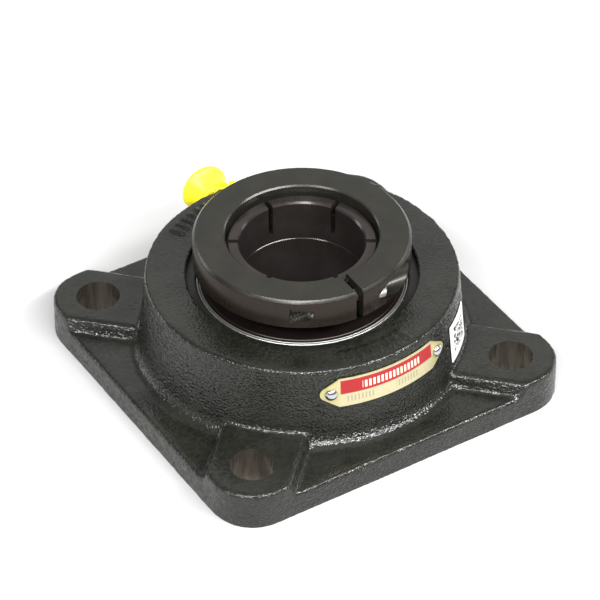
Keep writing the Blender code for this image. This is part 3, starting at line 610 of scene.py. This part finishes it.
def pocket(quarter):
    """The wedge of stock between two pads, wider at its top than at its floor."""
    reach = 1.5 * flange_half
    tip = PAD_HALF * math.sqrt(2)
    wedge = prism([(0, tip), (reach, reach + tip), (-reach, reach + tip)], PLATE_TOP, PAD_TOP + 4 * MM)
    for corner in wedge.verts:
        rise = (corner.co.z - PLATE_TOP) / (PAD_TOP - PLATE_TOP)
        corner.co.y += PAD_DRAFT * math.sqrt(2) * (1.0 - rise)
    bmesh.ops.rotate(wedge, verts=wedge.verts, cent=(0, 0, 0),
                     matrix=Matrix.Rotation(math.radians(90 * quarter), 3, "Z"))
    return wedge


def wall_r(z):
    """Radius of the hub's drafted wall at a height."""
    return HUB_R + (HUB_TOP - z) * HUB_DRAFT


def hub_stock():
    fillet = 5.0 * MM
    foot = PLATE_TOP + fillet
    profile = [(0.0, HUB_TOP), (HUB_R, HUB_TOP)]
    profile += arc((wall_r(foot) + fillet, foot), fillet, 180, 265, 8)
    profile += [(wall_r(foot) + fillet, PLATE_TOP / 2), (0.0, PLATE_TOP / 2)]
    return turned(profile, 128)


def melt(bm, voxel, rounds):
    """Fuse overlapping solids into one skin and relax its corners."""
    work = to_object("work", bm)
    fuse = work.modifiers.new("fuse", "REMESH")
    fuse.mode = "VOXEL"
    fuse.voxel_size = voxel
    relax = work.modifiers.new("relax", "SMOOTH")
    relax.factor = 0.5
    relax.iterations = rounds
    return evaluated(work)


def foundry_strokes():
    """Plain raised tally bars on the hub's face, two groups: (start, end) of each bar."""
    angles = [-106 + STROKE_STEP * i for i in range(8)] + [102 + STROKE_STEP * i for i in range(6)]
    return [(polar(STROKE_FROM, angle), polar(STROKE_TO, angle)) for angle in angles]


def stroke_rise(place, strokes):
    """How far the tally strokes lift the hub's face at a place, 0 to 1."""
    nearest = 1.0
    for start, end in strokes:
        run = end - start
        t = max(0.0, min(1.0, (place - start).dot(run) / run.length_squared))
        nearest = min(nearest, (place - start - run * t).length)
    return max(0.0, 1.0 - max(0.0, nearest - 0.45 * MM) / (0.7 * MM))


def pebbled(bm):
    """Push the sand mould's skin into the mesh, strongest on the steep walls."""
    bm.normal_update()
    strokes = foundry_strokes()
    moves = []
    for point in bm.verts:
        steep = 1.0 - abs(point.normal.z)
        lumps = noise.noise(point.co / (1.15 * MM))
        lumps += 0.6 * noise.noise(point.co / (0.7 * MM) + Vector((5, 5, 5)))
        waves = noise.noise(point.co / (9.0 * MM))
        depth = (0.05 + 0.15 * steep) * lumps + 0.14 * waves
        moves.append(point.normal * depth * MM)
        near_strokes = STROKE_FROM - 2.6 * MM < point.co.xy.length < STROKE_TO + 2.4 * MM
        if point.co.z > HUB_TOP - 0.3 * MM and near_strokes:
            on_face = Vector((point.co.x, point.co.y, 0))
            moves[-1] += Vector((0, 0, STROKE_HEIGHT * stroke_rise(on_face, strokes)))
    for point, move in zip(bm.verts, moves):
        point.co += move
    return bm


flange = prism(rounded_square(flange_half, CORNER_R), -BELOW, PAD_TOP)
stock = machined(flange, gather([pocket(quarter) for quarter in range(4)]))
mark = block((6 * MM, 13 * MM, 4 * MM), polar(HUB_R - 4 * MM, 33.5, HUB_TOP), 33.5)
casting = pebbled(melt(gather([stock, hub_stock(), mark]), VOXEL, 7))
print("casting:", len(casting.faces), "faces")

# %% [markdown]
# ## Machining the casting
# The back is milled flat, the spherical seat is bored, the loading slots are
# milled from behind, and the holes are drilled.  A short upright slot in the
# seat lets the locking pin tilt with the insert.  These cuts stay crisp, which
# is what tells a machined face from a cast one.

# %% Machining
def seat_cutter():
    reach = math.degrees(math.acos(MOUTH_R / SEAT_R))
    top = HUB_TOP + 3 * MM
    profile = [(0.0, top), (MOUTH_R + 0.5 * MM, top), (MOUTH_R + 0.5 * MM, HUB_TOP)]
    profile += [(MOUTH_R, HUB_TOP - 0.4 * MM)]
    profile += arc((0.0, INSERT_Z), SEAT_R, reach, -reach, 24)
    profile += [(MOUTH_R, 3 * MM), (MOUTH_R + 2.7 * MM, 3 * MM)]
    profile += [(MOUTH_R + 2.7 * MM, -3 * MM), (0.0, -3 * MM)]
    return turned(profile, 200)


slots = block((2 * SEAT_R + GAP, outer_high.z - outer_low.z + 1.2 * MM, INSERT_Z + 3 * MM),
              (0, 0, (INSERT_Z - 3 * MM) / 2))
drills = [rod(HOLE_R, (x * HOLE_AT, y * HOLE_AT, -3 * MM), (0, 0, 1), PAD_TOP + 6 * MM, 72)
          for x in (-1, 1) for y in (-1, 1)]
fitting_z = (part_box("grease_fitting")[0].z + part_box("grease_fitting")[1].z) / 2
drills.append(rod(3.3 * MM, (0, MOUTH_R, fitting_z), (0, 1, 0), 30 * MM, 32))
pin_low, pin_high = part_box("locking_pin")
pin_r = (pin_high.x - pin_low.x) / 2
pin_end = pin_high.y + GAP
pin_slot = block((2 * (pin_r + GAP), pin_end - MOUTH_R, 6 * pin_r),
                 (0, (pin_end + MOUTH_R) / 2, INSERT_Z))
bmesh.ops.bisect_plane(casting, geom=casting.verts[:] + casting.edges[:] + casting.faces[:], dist=0.000001,
                       plane_co=(0, 0, 0), plane_no=(0, 0, -1), clear_outer=True)
rim = [edge for edge in casting.edges if edge.is_boundary]
bmesh.ops.holes_fill(casting, edges=rim, sides=0)
bmesh.ops.triangulate(casting, faces=[face for face in casting.faces if len(face.verts) > 4])
bmesh.ops.recalc_face_normals(casting, faces=casting.faces)
PLATE_ANGLE = -89.8
PLATE_LENGTH = 50.8 * MM
RIVET_INSET = 3.8 * MM
RIVET_SHANK = 1.0 * MM
RIVET_HEAD = 2.2 * MM
RIVET_LENGTH = 3.6 * MM
plate_z = (plate_low.z + plate_high.z) / 2
rivet_turn = math.degrees((PLATE_LENGTH / 2 - RIVET_INSET) / wall_r(plate_z))
rivet_angles = {"left": PLATE_ANGLE - rivet_turn, "right": PLATE_ANGLE + rivet_turn}


def rivet_place(angle, out):
    """A point on a rivet's axis, which is square to the drafted wall."""
    return polar(wall_r(plate_z) + out, angle, plate_z + out * HUB_DRAFT)


def rivet_holes():
    """Drills for the two rivets, long enough for the hub's wall and the plate."""
    drill_r = RIVET_SHANK + 0.1 * MM
    return [rod(drill_r, rivet_place(angle, -3.5 * MM), polar(1, angle, HUB_DRAFT), 6 * MM, 32)
            for angle in rivet_angles.values()]


casting = machined(casting, seat_cutter(), slots, gather(drills), pin_slot, gather(rivet_holes()))
casting.normal_update()
for face in casting.faces:
    middle = face.calc_center_median()
    upright = abs(face.normal.z) < 0.5
    near_hole = Vector((abs(middle.x) - HOLE_AT, abs(middle.y) - HOLE_AT)).length < HOLE_R + 0.02 * MM
    in_bore = middle.xy.length < SEAT_R + 0.6 * MM and (upright or middle.z < HUB_TOP - 2 * MM)
    at_back = middle.z < 0.01 * MM
    face.material_index = 1 if near_hole or in_bore or at_back else 0
piece("housing_casting", casting, [ENAMEL, BORED], "housing", "housing", sharp=50.0)

# %% [markdown]
# ## Outer ring, cage and balls
# The outer ring's outside is part of a sphere, so the insert can tilt to follow
# a shaft that isn't square to its mounting.  Balls are spun from a half circle,
# and the cage is a turned band drilled once for each ball.

# %% Outer ring, cage and balls
SEAL_DEPTH = 3.6 * MM
GROOVE_DEPTH = 2.7 * MM
OUTER_LAND = PITCH_R + BALL_R - GROOVE_DEPTH
INNER_LAND = PITCH_R - BALL_R + GROOVE_DEPTH
SEAL_R = OUTER_LAND + 1.1 * MM
outer_top, outer_bottom = outer_high.z, outer_low.z


def groove(side, count=18):
    """Ball groove profile: side +1 for the outer ring, -1 for the inner ring."""
    land = OUTER_LAND if side > 0 else INNER_LAND
    reach = math.degrees(math.acos((land - PITCH_R) * side / GROOVE_R))
    if side > 0:
        return arc((PITCH_R, INSERT_Z), GROOVE_R, -reach, reach, count)
    return arc((PITCH_R, INSERT_Z), GROOVE_R, 180 - reach, 180 + reach, count)


def outer_ring_profile():
    edge = 0.35 * MM
    reach = math.degrees(math.asin((outer_top - INSERT_Z - edge) / OUTER_R))
    corner_r = OUTER_R * math.cos(math.radians(reach)) - edge
    profile = [(corner_r, outer_top)] + arc((0.0, INSERT_Z), OUTER_R, reach, -reach, 28)
    profile += [(corner_r, outer_bottom), (SEAL_R + edge, outer_bottom), (SEAL_R, outer_bottom + edge)]
    profile += [(SEAL_R, outer_bottom + SEAL_DEPTH), (OUTER_LAND, outer_bottom + SEAL_DEPTH)]
    profile += groove(1)
    profile += [(OUTER_LAND, outer_top - SEAL_DEPTH), (SEAL_R, outer_top - SEAL_DEPTH)]
    return profile + [(SEAL_R, outer_top - edge), (SEAL_R + edge, outer_top)]


outer = machined(turned(outer_ring_profile(), 200),
                 rod(1.0 * MM, (0, INNER_LAND, fitting_z), (0, 1, 0), 30 * MM, 24),
                 rod(1.6 * MM, (0, OUTER_R - 2 * MM, INSERT_Z), (0, 1, 0), 10 * MM, 24))
piece("outer_ring_turned", outer, OUTER_OXIDE, "insert", "outer_ring")

pin_tip = 0.3 * MM
pin_length = pin_high.y - pin_low.y
pin = turned([(0.0, pin_length), (pin_r - pin_tip, pin_length), (pin_r, pin_length - pin_tip),
              (pin_r, pin_tip), (pin_r - pin_tip, 0.0), (0.0, 0.0)], 32)
bmesh.ops.transform(pin, matrix=along((0, 1, 0), (0, pin_low.y, INSERT_Z)), verts=pin.verts)
piece("locking_pin_ground", pin, PIN_STEEL, "locking_pin", "locking_pin")

BALLS = 9
for number in range(1, BALLS + 1):
    ball = turned([(abs(x), z) for x, z in arc((0.0, 0.0), BALL_R, 90, -90, 20)], 40)
    place = polar(PITCH_R, 90 + 360 / BALLS * (number - 0.5), INSERT_Z)
    bmesh.ops.translate(ball, verts=ball.verts, vec=place)
    piece(f"bearing_ball_{number}", ball, BALL_STEEL, f"ball_{number}", f"ball_{number:02d}",
          180.0)

cage_r = cage_high.y
cage_in = cage_r - 2 * MM
rim = 0.3 * MM
cage = turned([(cage_r, cage_high.z - rim), (cage_r, cage_low.z + rim), (cage_r - rim, cage_low.z),
               (cage_in + rim, cage_low.z), (cage_in, cage_low.z + rim), (cage_in, cage_high.z - rim),
               (cage_in + rim, cage_high.z), (cage_r - rim, cage_high.z)], 160)
pockets = [rod(GROOVE_R, polar(cage_in - GROOVE_R, a, INSERT_Z), polar(1, a), 20 * MM, 40)
           for a in (90 + 360 / BALLS * (i + 0.5) for i in range(BALLS))]
piece("ball_cage", machined(cage, *pockets), CAGE_PLASTIC, "cage", "cage")

# %% [markdown]
# ## Seals
# Each end of the insert is closed by three rings: a pressed shield held in the
# outer ring, whose bright curled edge shows from outside, an oiled felt, and a
# dark flinger that turns with the shaft and throws dirt off.

# %% Seals
SHEET = 0.6 * MM


def at_end(profile, side):
    """The profile at the collar end, or mirrored through the insert's centre."""
    return [(r, INSERT_Z + side * (z - INSERT_Z)) for r, z in profile]


for end, side in (("front", 1), ("back", -1)):
    low = outer_top - SEAL_DEPTH + GAP
    high = outer_top - GAP
    inner = RING_R + 0.8 * MM
    edge = SEAL_R - GAP
    curl = 0.25 * MM
    shield = [(edge, high - curl), (edge, low + 0.3 * MM), (edge - 0.3 * MM, low), (inner, low)]
    shield += [(inner, low + SHEET), (edge - 0.9 * MM, low + SHEET), (edge - SHEET, low + 0.9 * MM)]
    shield += [(edge - SHEET, high - curl)] + arc((edge - SHEET / 2, high - curl), curl, 150, 30, 8)
    piece(f"{end}_shield_pressed", turned(at_end(shield, side), 200), ZINC, "insert",
          f"{end}_shield", 50.0)
    felt_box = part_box(f"{end}_felt_seal")
    felt_r = felt_box[1].x
    low, high = felt_box[0].z, felt_box[1].z
    soft = 0.3 * MM
    felt = [(felt_r, high - soft), (felt_r, low + soft), (felt_r - soft, low), (inner + soft, low)]
    felt += [(inner, low + soft), (inner, high - soft), (inner + soft, high), (felt_r - soft, high)]
    piece(f"{end}_felt_ring", turned(felt, 120), FELT, "insert", f"{end}_felt_seal")
    disc_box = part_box(f"{end}_flinger")
    disc_r, low, high = disc_box[1].x, disc_box[0].z, disc_box[1].z
    seat = RING_R + GAP
    lip = 0.2 * MM
    step_r = disc_r - 1.2 * MM
    disc = [(step_r - lip, high), (step_r, high - lip), (disc_r - lip / 2, high - lip)]
    disc += [(disc_r, high - 1.5 * lip), (disc_r, low), (seat, low), (seat, high)]
    piece(f"{end}_flinger_disc", turned(disc, 200), FLINGER_STEEL, "shaft_ring",
          f"{end}_flinger")

# %% [markdown]
# ## Inner ring
# The long inner ring is bored to the shaft.  Its collar end is sawn into six
# fingers, so the collar can squeeze it onto the shaft evenly all round.  A
# shallow step in the bore marks where the grinding for the fingers ends.

# %% Inner ring
def inner_ring_profile():
    top, bottom = ring_high.z, ring_low.z
    shoulder = SEAL_DEPTH
    edge = 0.7 * MM
    step_z = 36.2 * MM
    step = 0.18 * MM
    profile = [(RING_R - edge, top), (RING_R, top - edge), (RING_R, outer_top - shoulder)]
    profile += [(INNER_LAND, outer_top - shoulder)] + groove(-1)
    profile += [(INNER_LAND, outer_bottom + shoulder), (RING_R, outer_bottom + shoulder)]
    profile += [(RING_R, bottom + edge), (RING_R - edge, bottom), (SHAFT_R + edge, bottom)]
    profile += [(SHAFT_R, bottom + edge), (SHAFT_R, step_z - step), (SHAFT_R + step, step_z)]
    return profile + [(SHAFT_R + step, top - edge), (SHAFT_R + edge, top)]


FINGERS = 6
FIRST_SAW = 28.0            # degrees
SAW = 1.8 * MM
SAW_DEPTH = 12.35 * MM
saws = []
for i in range(FINGERS):
    angle = FIRST_SAW + 360 / FINGERS * i
    place = polar((SHAFT_R + RING_R) / 2, angle, ring_high.z - SAW_DEPTH / 2 + 1 * MM)
    saws.append(block((8 * MM, SAW, SAW_DEPTH + 2 * MM), place, angle))
inner_ring = machined(turned(inner_ring_profile(), 240), gather(saws))
piece("inner_ring_turned", inner_ring, RING_OXIDE, "shaft_ring", "inner_ring")

# %% [markdown]
# ## Clamp collar and its screw
# The collar is one turned ring, sawn through once.  The cap screw crosses the
# saw cut: its head pulls on a spot-faced pocket on one side and its thread
# bites in a tapped hole on the other, which breaks out through the collar's
# outside and shows the thread.  A rod with rings of ridges cuts the thread, in
# step with the ridges of the screw.

# %% Clamp collar
COLLAR_BORE = RING_R + 0.5 * MM
CUT_ANGLE = -91.0
CUT_WIDTH = 2.7 * MM
SCREW_R = 2.4 * MM
SCREW_PITCH = 1.3 * MM
THREAD_DEPTH = 0.6 * MM
THREAD_PLAY = 0.07 * MM
HEAD_R = 4.1 * MM
HEAD_LENGTH = 5.0 * MM
POCKET_R = 4.9 * MM
SCREW_AT = 31.9 * MM
SEAT_AT = 7.0 * MM
screw_axis = polar(1, CUT_ANGLE + 90)
screw_z = (collar_low.z + collar_high.z) / 2 - 0.4 * MM
seat_point = polar(SCREW_AT, CUT_ANGLE, screw_z) + screw_axis * SEAT_AT


def ridged(radius, depth, length, pitch):
    """Profile of a threaded rod's side, from its top at 0 downwards."""
    turns = int(length / pitch)
    points = []
    for i in range(turns):
        top = -i * pitch
        points += [(radius, top - 0.15 * pitch), (radius - depth, top - 0.55 * pitch)]
        points += [(radius - depth, top - 0.65 * pitch)]
    return points


def collar_profile():
    chamfer = 1.0 * MM
    small = 0.5 * MM
    top, bottom = collar_high.z, collar_low.z
    profile = [(COLLAR_R - chamfer, top), (COLLAR_R - 0.1 * MM, top - chamfer)]
    profile += [(COLLAR_R, top - chamfer - 0.2 * MM), (COLLAR_R, bottom + small)]
    profile += [(COLLAR_R - small, bottom), (COLLAR_BORE + small, bottom), (COLLAR_BORE, bottom + small)]
    return profile + [(COLLAR_BORE, top - small), (COLLAR_BORE + small, top)]


tap_length = 2 * COLLAR_R
tap_top = seat_point - screw_axis * (round(SEAT_AT / SCREW_PITCH) * SCREW_PITCH - GAP)
tap = turned([(0.0, 0.0)] + ridged(SCREW_R + THREAD_PLAY, THREAD_DEPTH, tap_length, SCREW_PITCH)
             + [(0.0, -tap_length)], 48)
bmesh.ops.transform(tap, matrix=along(screw_axis, tap_top), verts=tap.verts)
clear_hole = rod(SCREW_R + GAP, seat_point - screw_axis * SEAT_AT, screw_axis, 2 * SEAT_AT, 48)
head_pocket = rod(POCKET_R, seat_point, screw_axis, COLLAR_R, 64)
wall_middle = polar((COLLAR_BORE + COLLAR_R) / 2, CUT_ANGLE, screw_z)
saw_cut = block((20 * MM, CUT_WIDTH, 30 * MM), wall_middle, CUT_ANGLE)
collar = machined(turned(collar_profile(), 240), tap, clear_hole, head_pocket, saw_cut)
piece("clamp_collar", collar, COLLAR_OXIDE_AND_WALL_SHADE, "shaft_ring", "lock_collar")

# %% [markdown]
# ## Cap screw
# The head is knurled round its side and has a hexagon socket.  The same ridges
# as in the tapped hole stand for the thread.

# %% Cap screw
def hexagon(corner_r):
    return [tuple(polar(corner_r, 60 * i)[:2]) for i in range(6)]


def cap_screw():
    """Socket head with a knurled side, and a ridged shank below it."""
    teeth = 44
    outline = []
    for i in range(teeth * 2):
        radius = HEAD_R - (0.22 * MM if i % 2 else 0.0)
        outline.append(tuple(polar(radius, 180 * i / teeth)[:2]))
    head = prism(outline, 0.0, HEAD_LENGTH)
    dome = turned([(0.0, HEAD_LENGTH + 1 * MM), (HEAD_R - 0.7 * MM, HEAD_LENGTH + 1 * MM),
                   (HEAD_R - 0.7 * MM, HEAD_LENGTH), (HEAD_R + 0.1 * MM, HEAD_LENGTH - 0.8 * MM),
                   (HEAD_R + 0.1 * MM, -1 * MM), (0.0, -1 * MM)], 64)
    head = machined(head, dome, operation="INTERSECT")
    socket = prism(hexagon(2.2 * MM), HEAD_LENGTH - 2.6 * MM, HEAD_LENGTH + 1 * MM)
    head = machined(head, socket)
    length = 25.0 * MM
    shank = turned([(0.0, 1 * MM), (SCREW_R, 1 * MM)] + ridged(SCREW_R, THREAD_DEPTH, length, SCREW_PITCH)
                   + [(0.0, -length)], 48)
    return machined(head, shank, operation="UNION")


screw = cap_screw()
bmesh.ops.transform(screw, matrix=along(screw_axis, seat_point + screw_axis * GAP), verts=screw.verts)
piece("cap_screw", screw, SCREW_STEEL, "cap_screw", "collar_cap_screw", 40.0)

# %% [markdown]
# ## Grease fitting
# The fitting is a hexagon with a nozzle, and a ball on a spring closes its
# mouth.

# %% Grease fitting
fit_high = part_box("grease_fitting")[1]
cap_low, cap_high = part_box("grease_cap")
hex_face = fit_high.y - 7.6 * MM
to_fitting = along((0, 1, 0), (0, hex_face, fitting_z))


def grease_fitting():
    length = fit_high.y - hex_face
    head = 3.2 * MM
    neck = 2.3 * MM
    thread = 3.0 * MM
    profile = [(0.0, length), (1.6 * MM, length), (head - 0.5 * MM, length - 0.9 * MM)]
    profile += [(head, length - 1.5 * MM), (head, length - 2.2 * MM), (neck, length - 3.0 * MM)]
    profile += [(neck, 0.3 * MM), (thread, 0.3 * MM)]
    profile += ridged(thread, 0.4 * MM, 10.0 * MM, 0.9 * MM) + [(0.0, -10.4 * MM)]
    body = turned(profile, 48)
    thick = 2.4 * MM
    crown = turned([(0.0, thick), (4.1 * MM, thick), (4.7 * MM, thick - 0.4 * MM), (4.7 * MM, -0.1 * MM),
                    (0.0, -0.1 * MM)], 48)
    nut = machined(prism(hexagon(4.6 * MM), 0.0, thick), crown, operation="INTERSECT")
    body = machined(body, nut, operation="UNION")
    chamber = 1.3 * MM
    mouth, passage = 0.7 * MM, 0.8 * MM
    way = [(0.0, length + 1 * MM), (mouth, length + 1 * MM), (mouth, length), (chamber, length - 0.8 * MM)]
    way += [(chamber, 0.0), (passage, 0.0), (passage, -12 * MM), (0.0, -12 * MM)]
    return machined(body, turned(way, 32))


fitting = grease_fitting()
bmesh.ops.transform(fitting, matrix=to_fitting, verts=fitting.verts)
piece("grease_nipple", fitting, FITTING_STEEL, "housing", "grease_fitting", 40.0)

check_low, check_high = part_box("check_ball")
check_r = (check_high.z - check_low.z) / 2
check = turned([(abs(x), z) for x, z in arc((0.0, 0.0), check_r, 90, -90, 12)], 24)
bmesh.ops.translate(check, verts=check.verts, vec=(check_low + check_high) / 2)
piece("valve_ball", check, BALL_STEEL, "check_ball", "check_ball", 180.0)

spring_low, spring_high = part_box("check_spring")
wire_r = 0.12 * MM
coil_r = (spring_high.x - spring_low.x) / 2 - wire_r
coil = bpy.data.curves.new("valve_spring", "CURVE")
coil.dimensions = "3D"
coil.bevel_depth = wire_r
coil.bevel_resolution = 2
coil.use_fill_caps = True
turns, per_turn = 5, 16
thread = coil.splines.new("POLY")
thread.points.add(turns * per_turn)
for i, point in enumerate(thread.points):
    a = math.tau * i / per_turn
    y = spring_low.y + wire_r + (spring_high.y - spring_low.y - 2 * wire_r) * i / (turns * per_turn)
    point.co = (coil_r * math.cos(a), y, fitting_z + coil_r * math.sin(a), 1.0)
coil_object = bpy.data.objects.new("coil", coil)
bpy.context.scene.collection.objects.link(coil_object)
spring = tidy(evaluated(coil_object))
piece("valve_spring", spring, PIN_STEEL, "housing", "check_spring", 60.0)

# %% [markdown]
# ## Yellow cap and strap
# The cap is a round-headed plug on a skirt, held by a strap so that it isn't
# lost.  The strap bends when the cap is pulled off; the last cell takes it off
# its body and bakes its place into its mesh.

# %% Yellow cap and strap
CAP_R = (cap_high.z - cap_low.z) / 2
cap_length = cap_high.y - cap_low.y


def yellow_cap():
    """Domed head that tapers to a hollow skirt, like a mushroom."""
    reach = cap_length + 0.5 * MM
    inside = 3.5 * MM
    skirt = 5.2 * MM
    profile = [(0.0, reach)] + arc((0.0, reach - 16 * MM), 16 * MM, 82, 64, 6)
    profile += arc((CAP_R - 1.1 * MM, reach - 2.6 * MM), 1.1 * MM, 55, -60, 7)
    profile += [(CAP_R - 1.3 * MM, reach - 4.6 * MM), (CAP_R - 2.4 * MM, reach - 6.2 * MM)]
    profile += [(skirt + 0.25 * MM, 2.2 * MM), (skirt, 1.5 * MM), (skirt - 0.15 * MM, 0.3 * MM)]
    profile += [(skirt - 0.5 * MM, 0.0), (inside + 0.2 * MM, 0.0), (inside, 0.3 * MM)]
    return turned(profile + [(inside, cap_length - 4.2 * MM), (0.0, cap_length - 4.2 * MM)], 64)


cap = yellow_cap()
bmesh.ops.transform(cap, matrix=along((0, 1, 0), (0, cap_low.y, fitting_z)), verts=cap.verts)
piece("yellow_grease_cap", cap, YELLOW, "grease_cap", "grease_cap", 60.0)


STRAP_OUT = 2.2 * MM


def strap_and_ring():
    """A flat ring round the cap's skirt with a strap that loops to the head's edge."""
    inside, outside = 5.5 * MM, 7.0 * MM
    thick = 1.2 * MM
    soft = 0.25 * MM
    section = [(outside - soft, thick), (outside, thick - soft), (outside, soft), (outside - soft, 0.0)]
    section += [(inside + soft, 0.0), (inside, soft), (inside, thick - soft), (inside + soft, thick)]
    ring = turned(section, 64)
    bmesh.ops.transform(ring, matrix=along((0, 1, 0), (0, cap_low.y, fitting_z)), verts=ring.verts)
    width = 1.9 * MM
    start = Vector((outside - 0.5 * MM, cap_low.y + thick / 2, fitting_z))
    bend = 2.0 * MM
    band_mesh = bmesh.new()
    deep, wide = 0.35 * thick, width / 2
    strip = [(-deep, -wide), (deep, -wide), (deep, wide), (-deep, wide)]
    loop = [band_mesh.verts.new((start.x, start.y + a, start.z + b)) for a, b in strip]
    face = band_mesh.faces.new(loop)
    moved = bmesh.ops.extrude_face_region(band_mesh, geom=[face])["geom"]
    tip = [v for v in moved if isinstance(v, bmesh.types.BMVert)]
    bmesh.ops.translate(band_mesh, verts=tip, vec=(STRAP_OUT, 0, 0))
    end_face = [f for f in moved if isinstance(f, bmesh.types.BMFace)]
    edges = list({e for f in end_face for e in f.edges})
    bend_centre = (start.x + STRAP_OUT, start.y + bend, start.z)
    bmesh.ops.spin(band_mesh, geom=end_face + edges + tip, cent=bend_centre,
                   axis=(0, 0, 1), angle=math.pi * 0.97, steps=14, use_merge=False)
    tidy(band_mesh)
    return machined(ring, band_mesh, operation="UNION", solver="EXACT")


strap = strap_and_ring()
strap_piece = piece("cap_strap", strap, YELLOW, "housing", "cap_tether", 45.0)

# %% [markdown]
# ## Nameplate, rivets and label
# The plate is cut flat with pointed ends, printed, bent to the hub and held by
# two drive rivets.  The same is done here: a flat outline is sliced into narrow
# strips so that it can bend, given its thickness, mapped, and then wrapped on
# the drafted wall.

# %% Nameplate, rivets and label
LABEL_ANGLE = -48.7
SHEET_LIFT = 0.25 * MM      # how far a sheet's back stands off the drafted wall


def wrapped_sheet(outline, middle, centre_z, thickness, lift, strip=1.0 * MM):
    """Slice a flat outline, give it a wall, and wrap it on the hub's wall."""
    bm = bmesh.new()
    bm.faces.new([bm.verts.new((x, 0.0, z)) for x, z in outline])
    xs = [x for x, z in outline]
    low, high = min(xs), max(xs)
    zs = [z for x, z in outline]
    for i in range(1, int((high - low) / strip)):
        bmesh.ops.bisect_plane(bm, geom=bm.verts[:] + bm.edges[:] + bm.faces[:],
                               plane_co=(low + i * strip, 0, 0), plane_no=(1, 0, 0))
    bmesh.ops.recalc_face_normals(bm, faces=bm.faces)
    back = bmesh.ops.extrude_face_region(bm, geom=bm.faces[:])["geom"]
    shifted = [v for v in back if isinstance(v, bmesh.types.BMVert)]
    bmesh.ops.translate(bm, verts=shifted, vec=(0, -thickness, 0))
    bmesh.ops.recalc_face_normals(bm, faces=bm.faces)
    layer = bm.loops.layers.uv.new("print")
    for face in bm.faces:
        for corner in face.loops:
            x, z = corner.vert.co.x, corner.vert.co.z
            corner[layer].uv = ((x - low) / (high - low), (z - min(zs)) / (max(zs) - min(zs)))
    for point in bm.verts:
        z = centre_z + point.co.z
        radius = wall_r(z) + lift - point.co.y
        angle = middle + math.degrees(point.co.x / wall_r(centre_z))
        point.co = polar(radius, angle, z)
    return bm


def plate_outline():
    half, tall = PLATE_LENGTH / 2, 5.5 * MM
    flat = half - 6.6 * MM
    nose = 2.3 * MM
    right = [(flat, tall)] + arc((half - nose, 0.0), nose, 62, -62, 6) + [(flat, -tall)]
    return right + [(-x, -z) for x, z in right]


plate = wrapped_sheet(plate_outline(), PLATE_ANGLE, plate_z, 0.5 * MM, SHEET_LIFT)
plate = machined(plate, gather(rivet_holes()))
piece("printed_nameplate", plate, PRINTED_BRASS, "housing", "nameplate", 40.0)
for name, angle in rivet_angles.items():
    dome = [(abs(r) * RIVET_HEAD, z * 1.5 * MM) for r, z in arc((0.0, 0.0), 1.0, 90, 0, 10)]
    stem = [(RIVET_HEAD - 0.1 * MM, -0.15 * MM), (RIVET_SHANK, -0.15 * MM)]
    stem += [(RIVET_SHANK, -RIVET_LENGTH), (0.0, -RIVET_LENGTH)]
    rivet = turned(dome + stem, 40)
    bmesh.ops.transform(rivet, matrix=along(polar(1, angle, HUB_DRAFT), rivet_place(angle, 1.0 * MM)),
                        verts=rivet.verts)
    piece(f"drive_rivet_{name}", rivet, RIVET_STEEL, "housing", f"nameplate_rivet_{name}", 50.0)

label_low, label_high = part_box("code_label")
label_half, label_tall = 8.0 * MM, (label_high.z - label_low.z) / 2
corner = 0.6 * MM
label_outline = []
for cx, cz, start in ((1, 1, 0), (-1, 1, 90), (-1, -1, 180), (1, -1, 270)):
    middle = (cx * (label_half - corner), cz * (label_tall - corner))
    label_outline += arc(middle, corner, start, start + 90, 3)
label_z = (label_low.z + label_high.z) / 2
label = wrapped_sheet(label_outline, LABEL_ANGLE, label_z, 0.2 * MM, SHEET_LIFT)
piece("printed_code_label", label, PRINTED_LABEL, "housing", "code_label", 40.0)

# %% [markdown]
# ## The strap is freed from its body
# The strap is taken off its body and its place is baked into its mesh.

# %% Strap unparented and baked
bpy.context.view_layer.update()
strap_piece.parent = None
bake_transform(strap_piece)
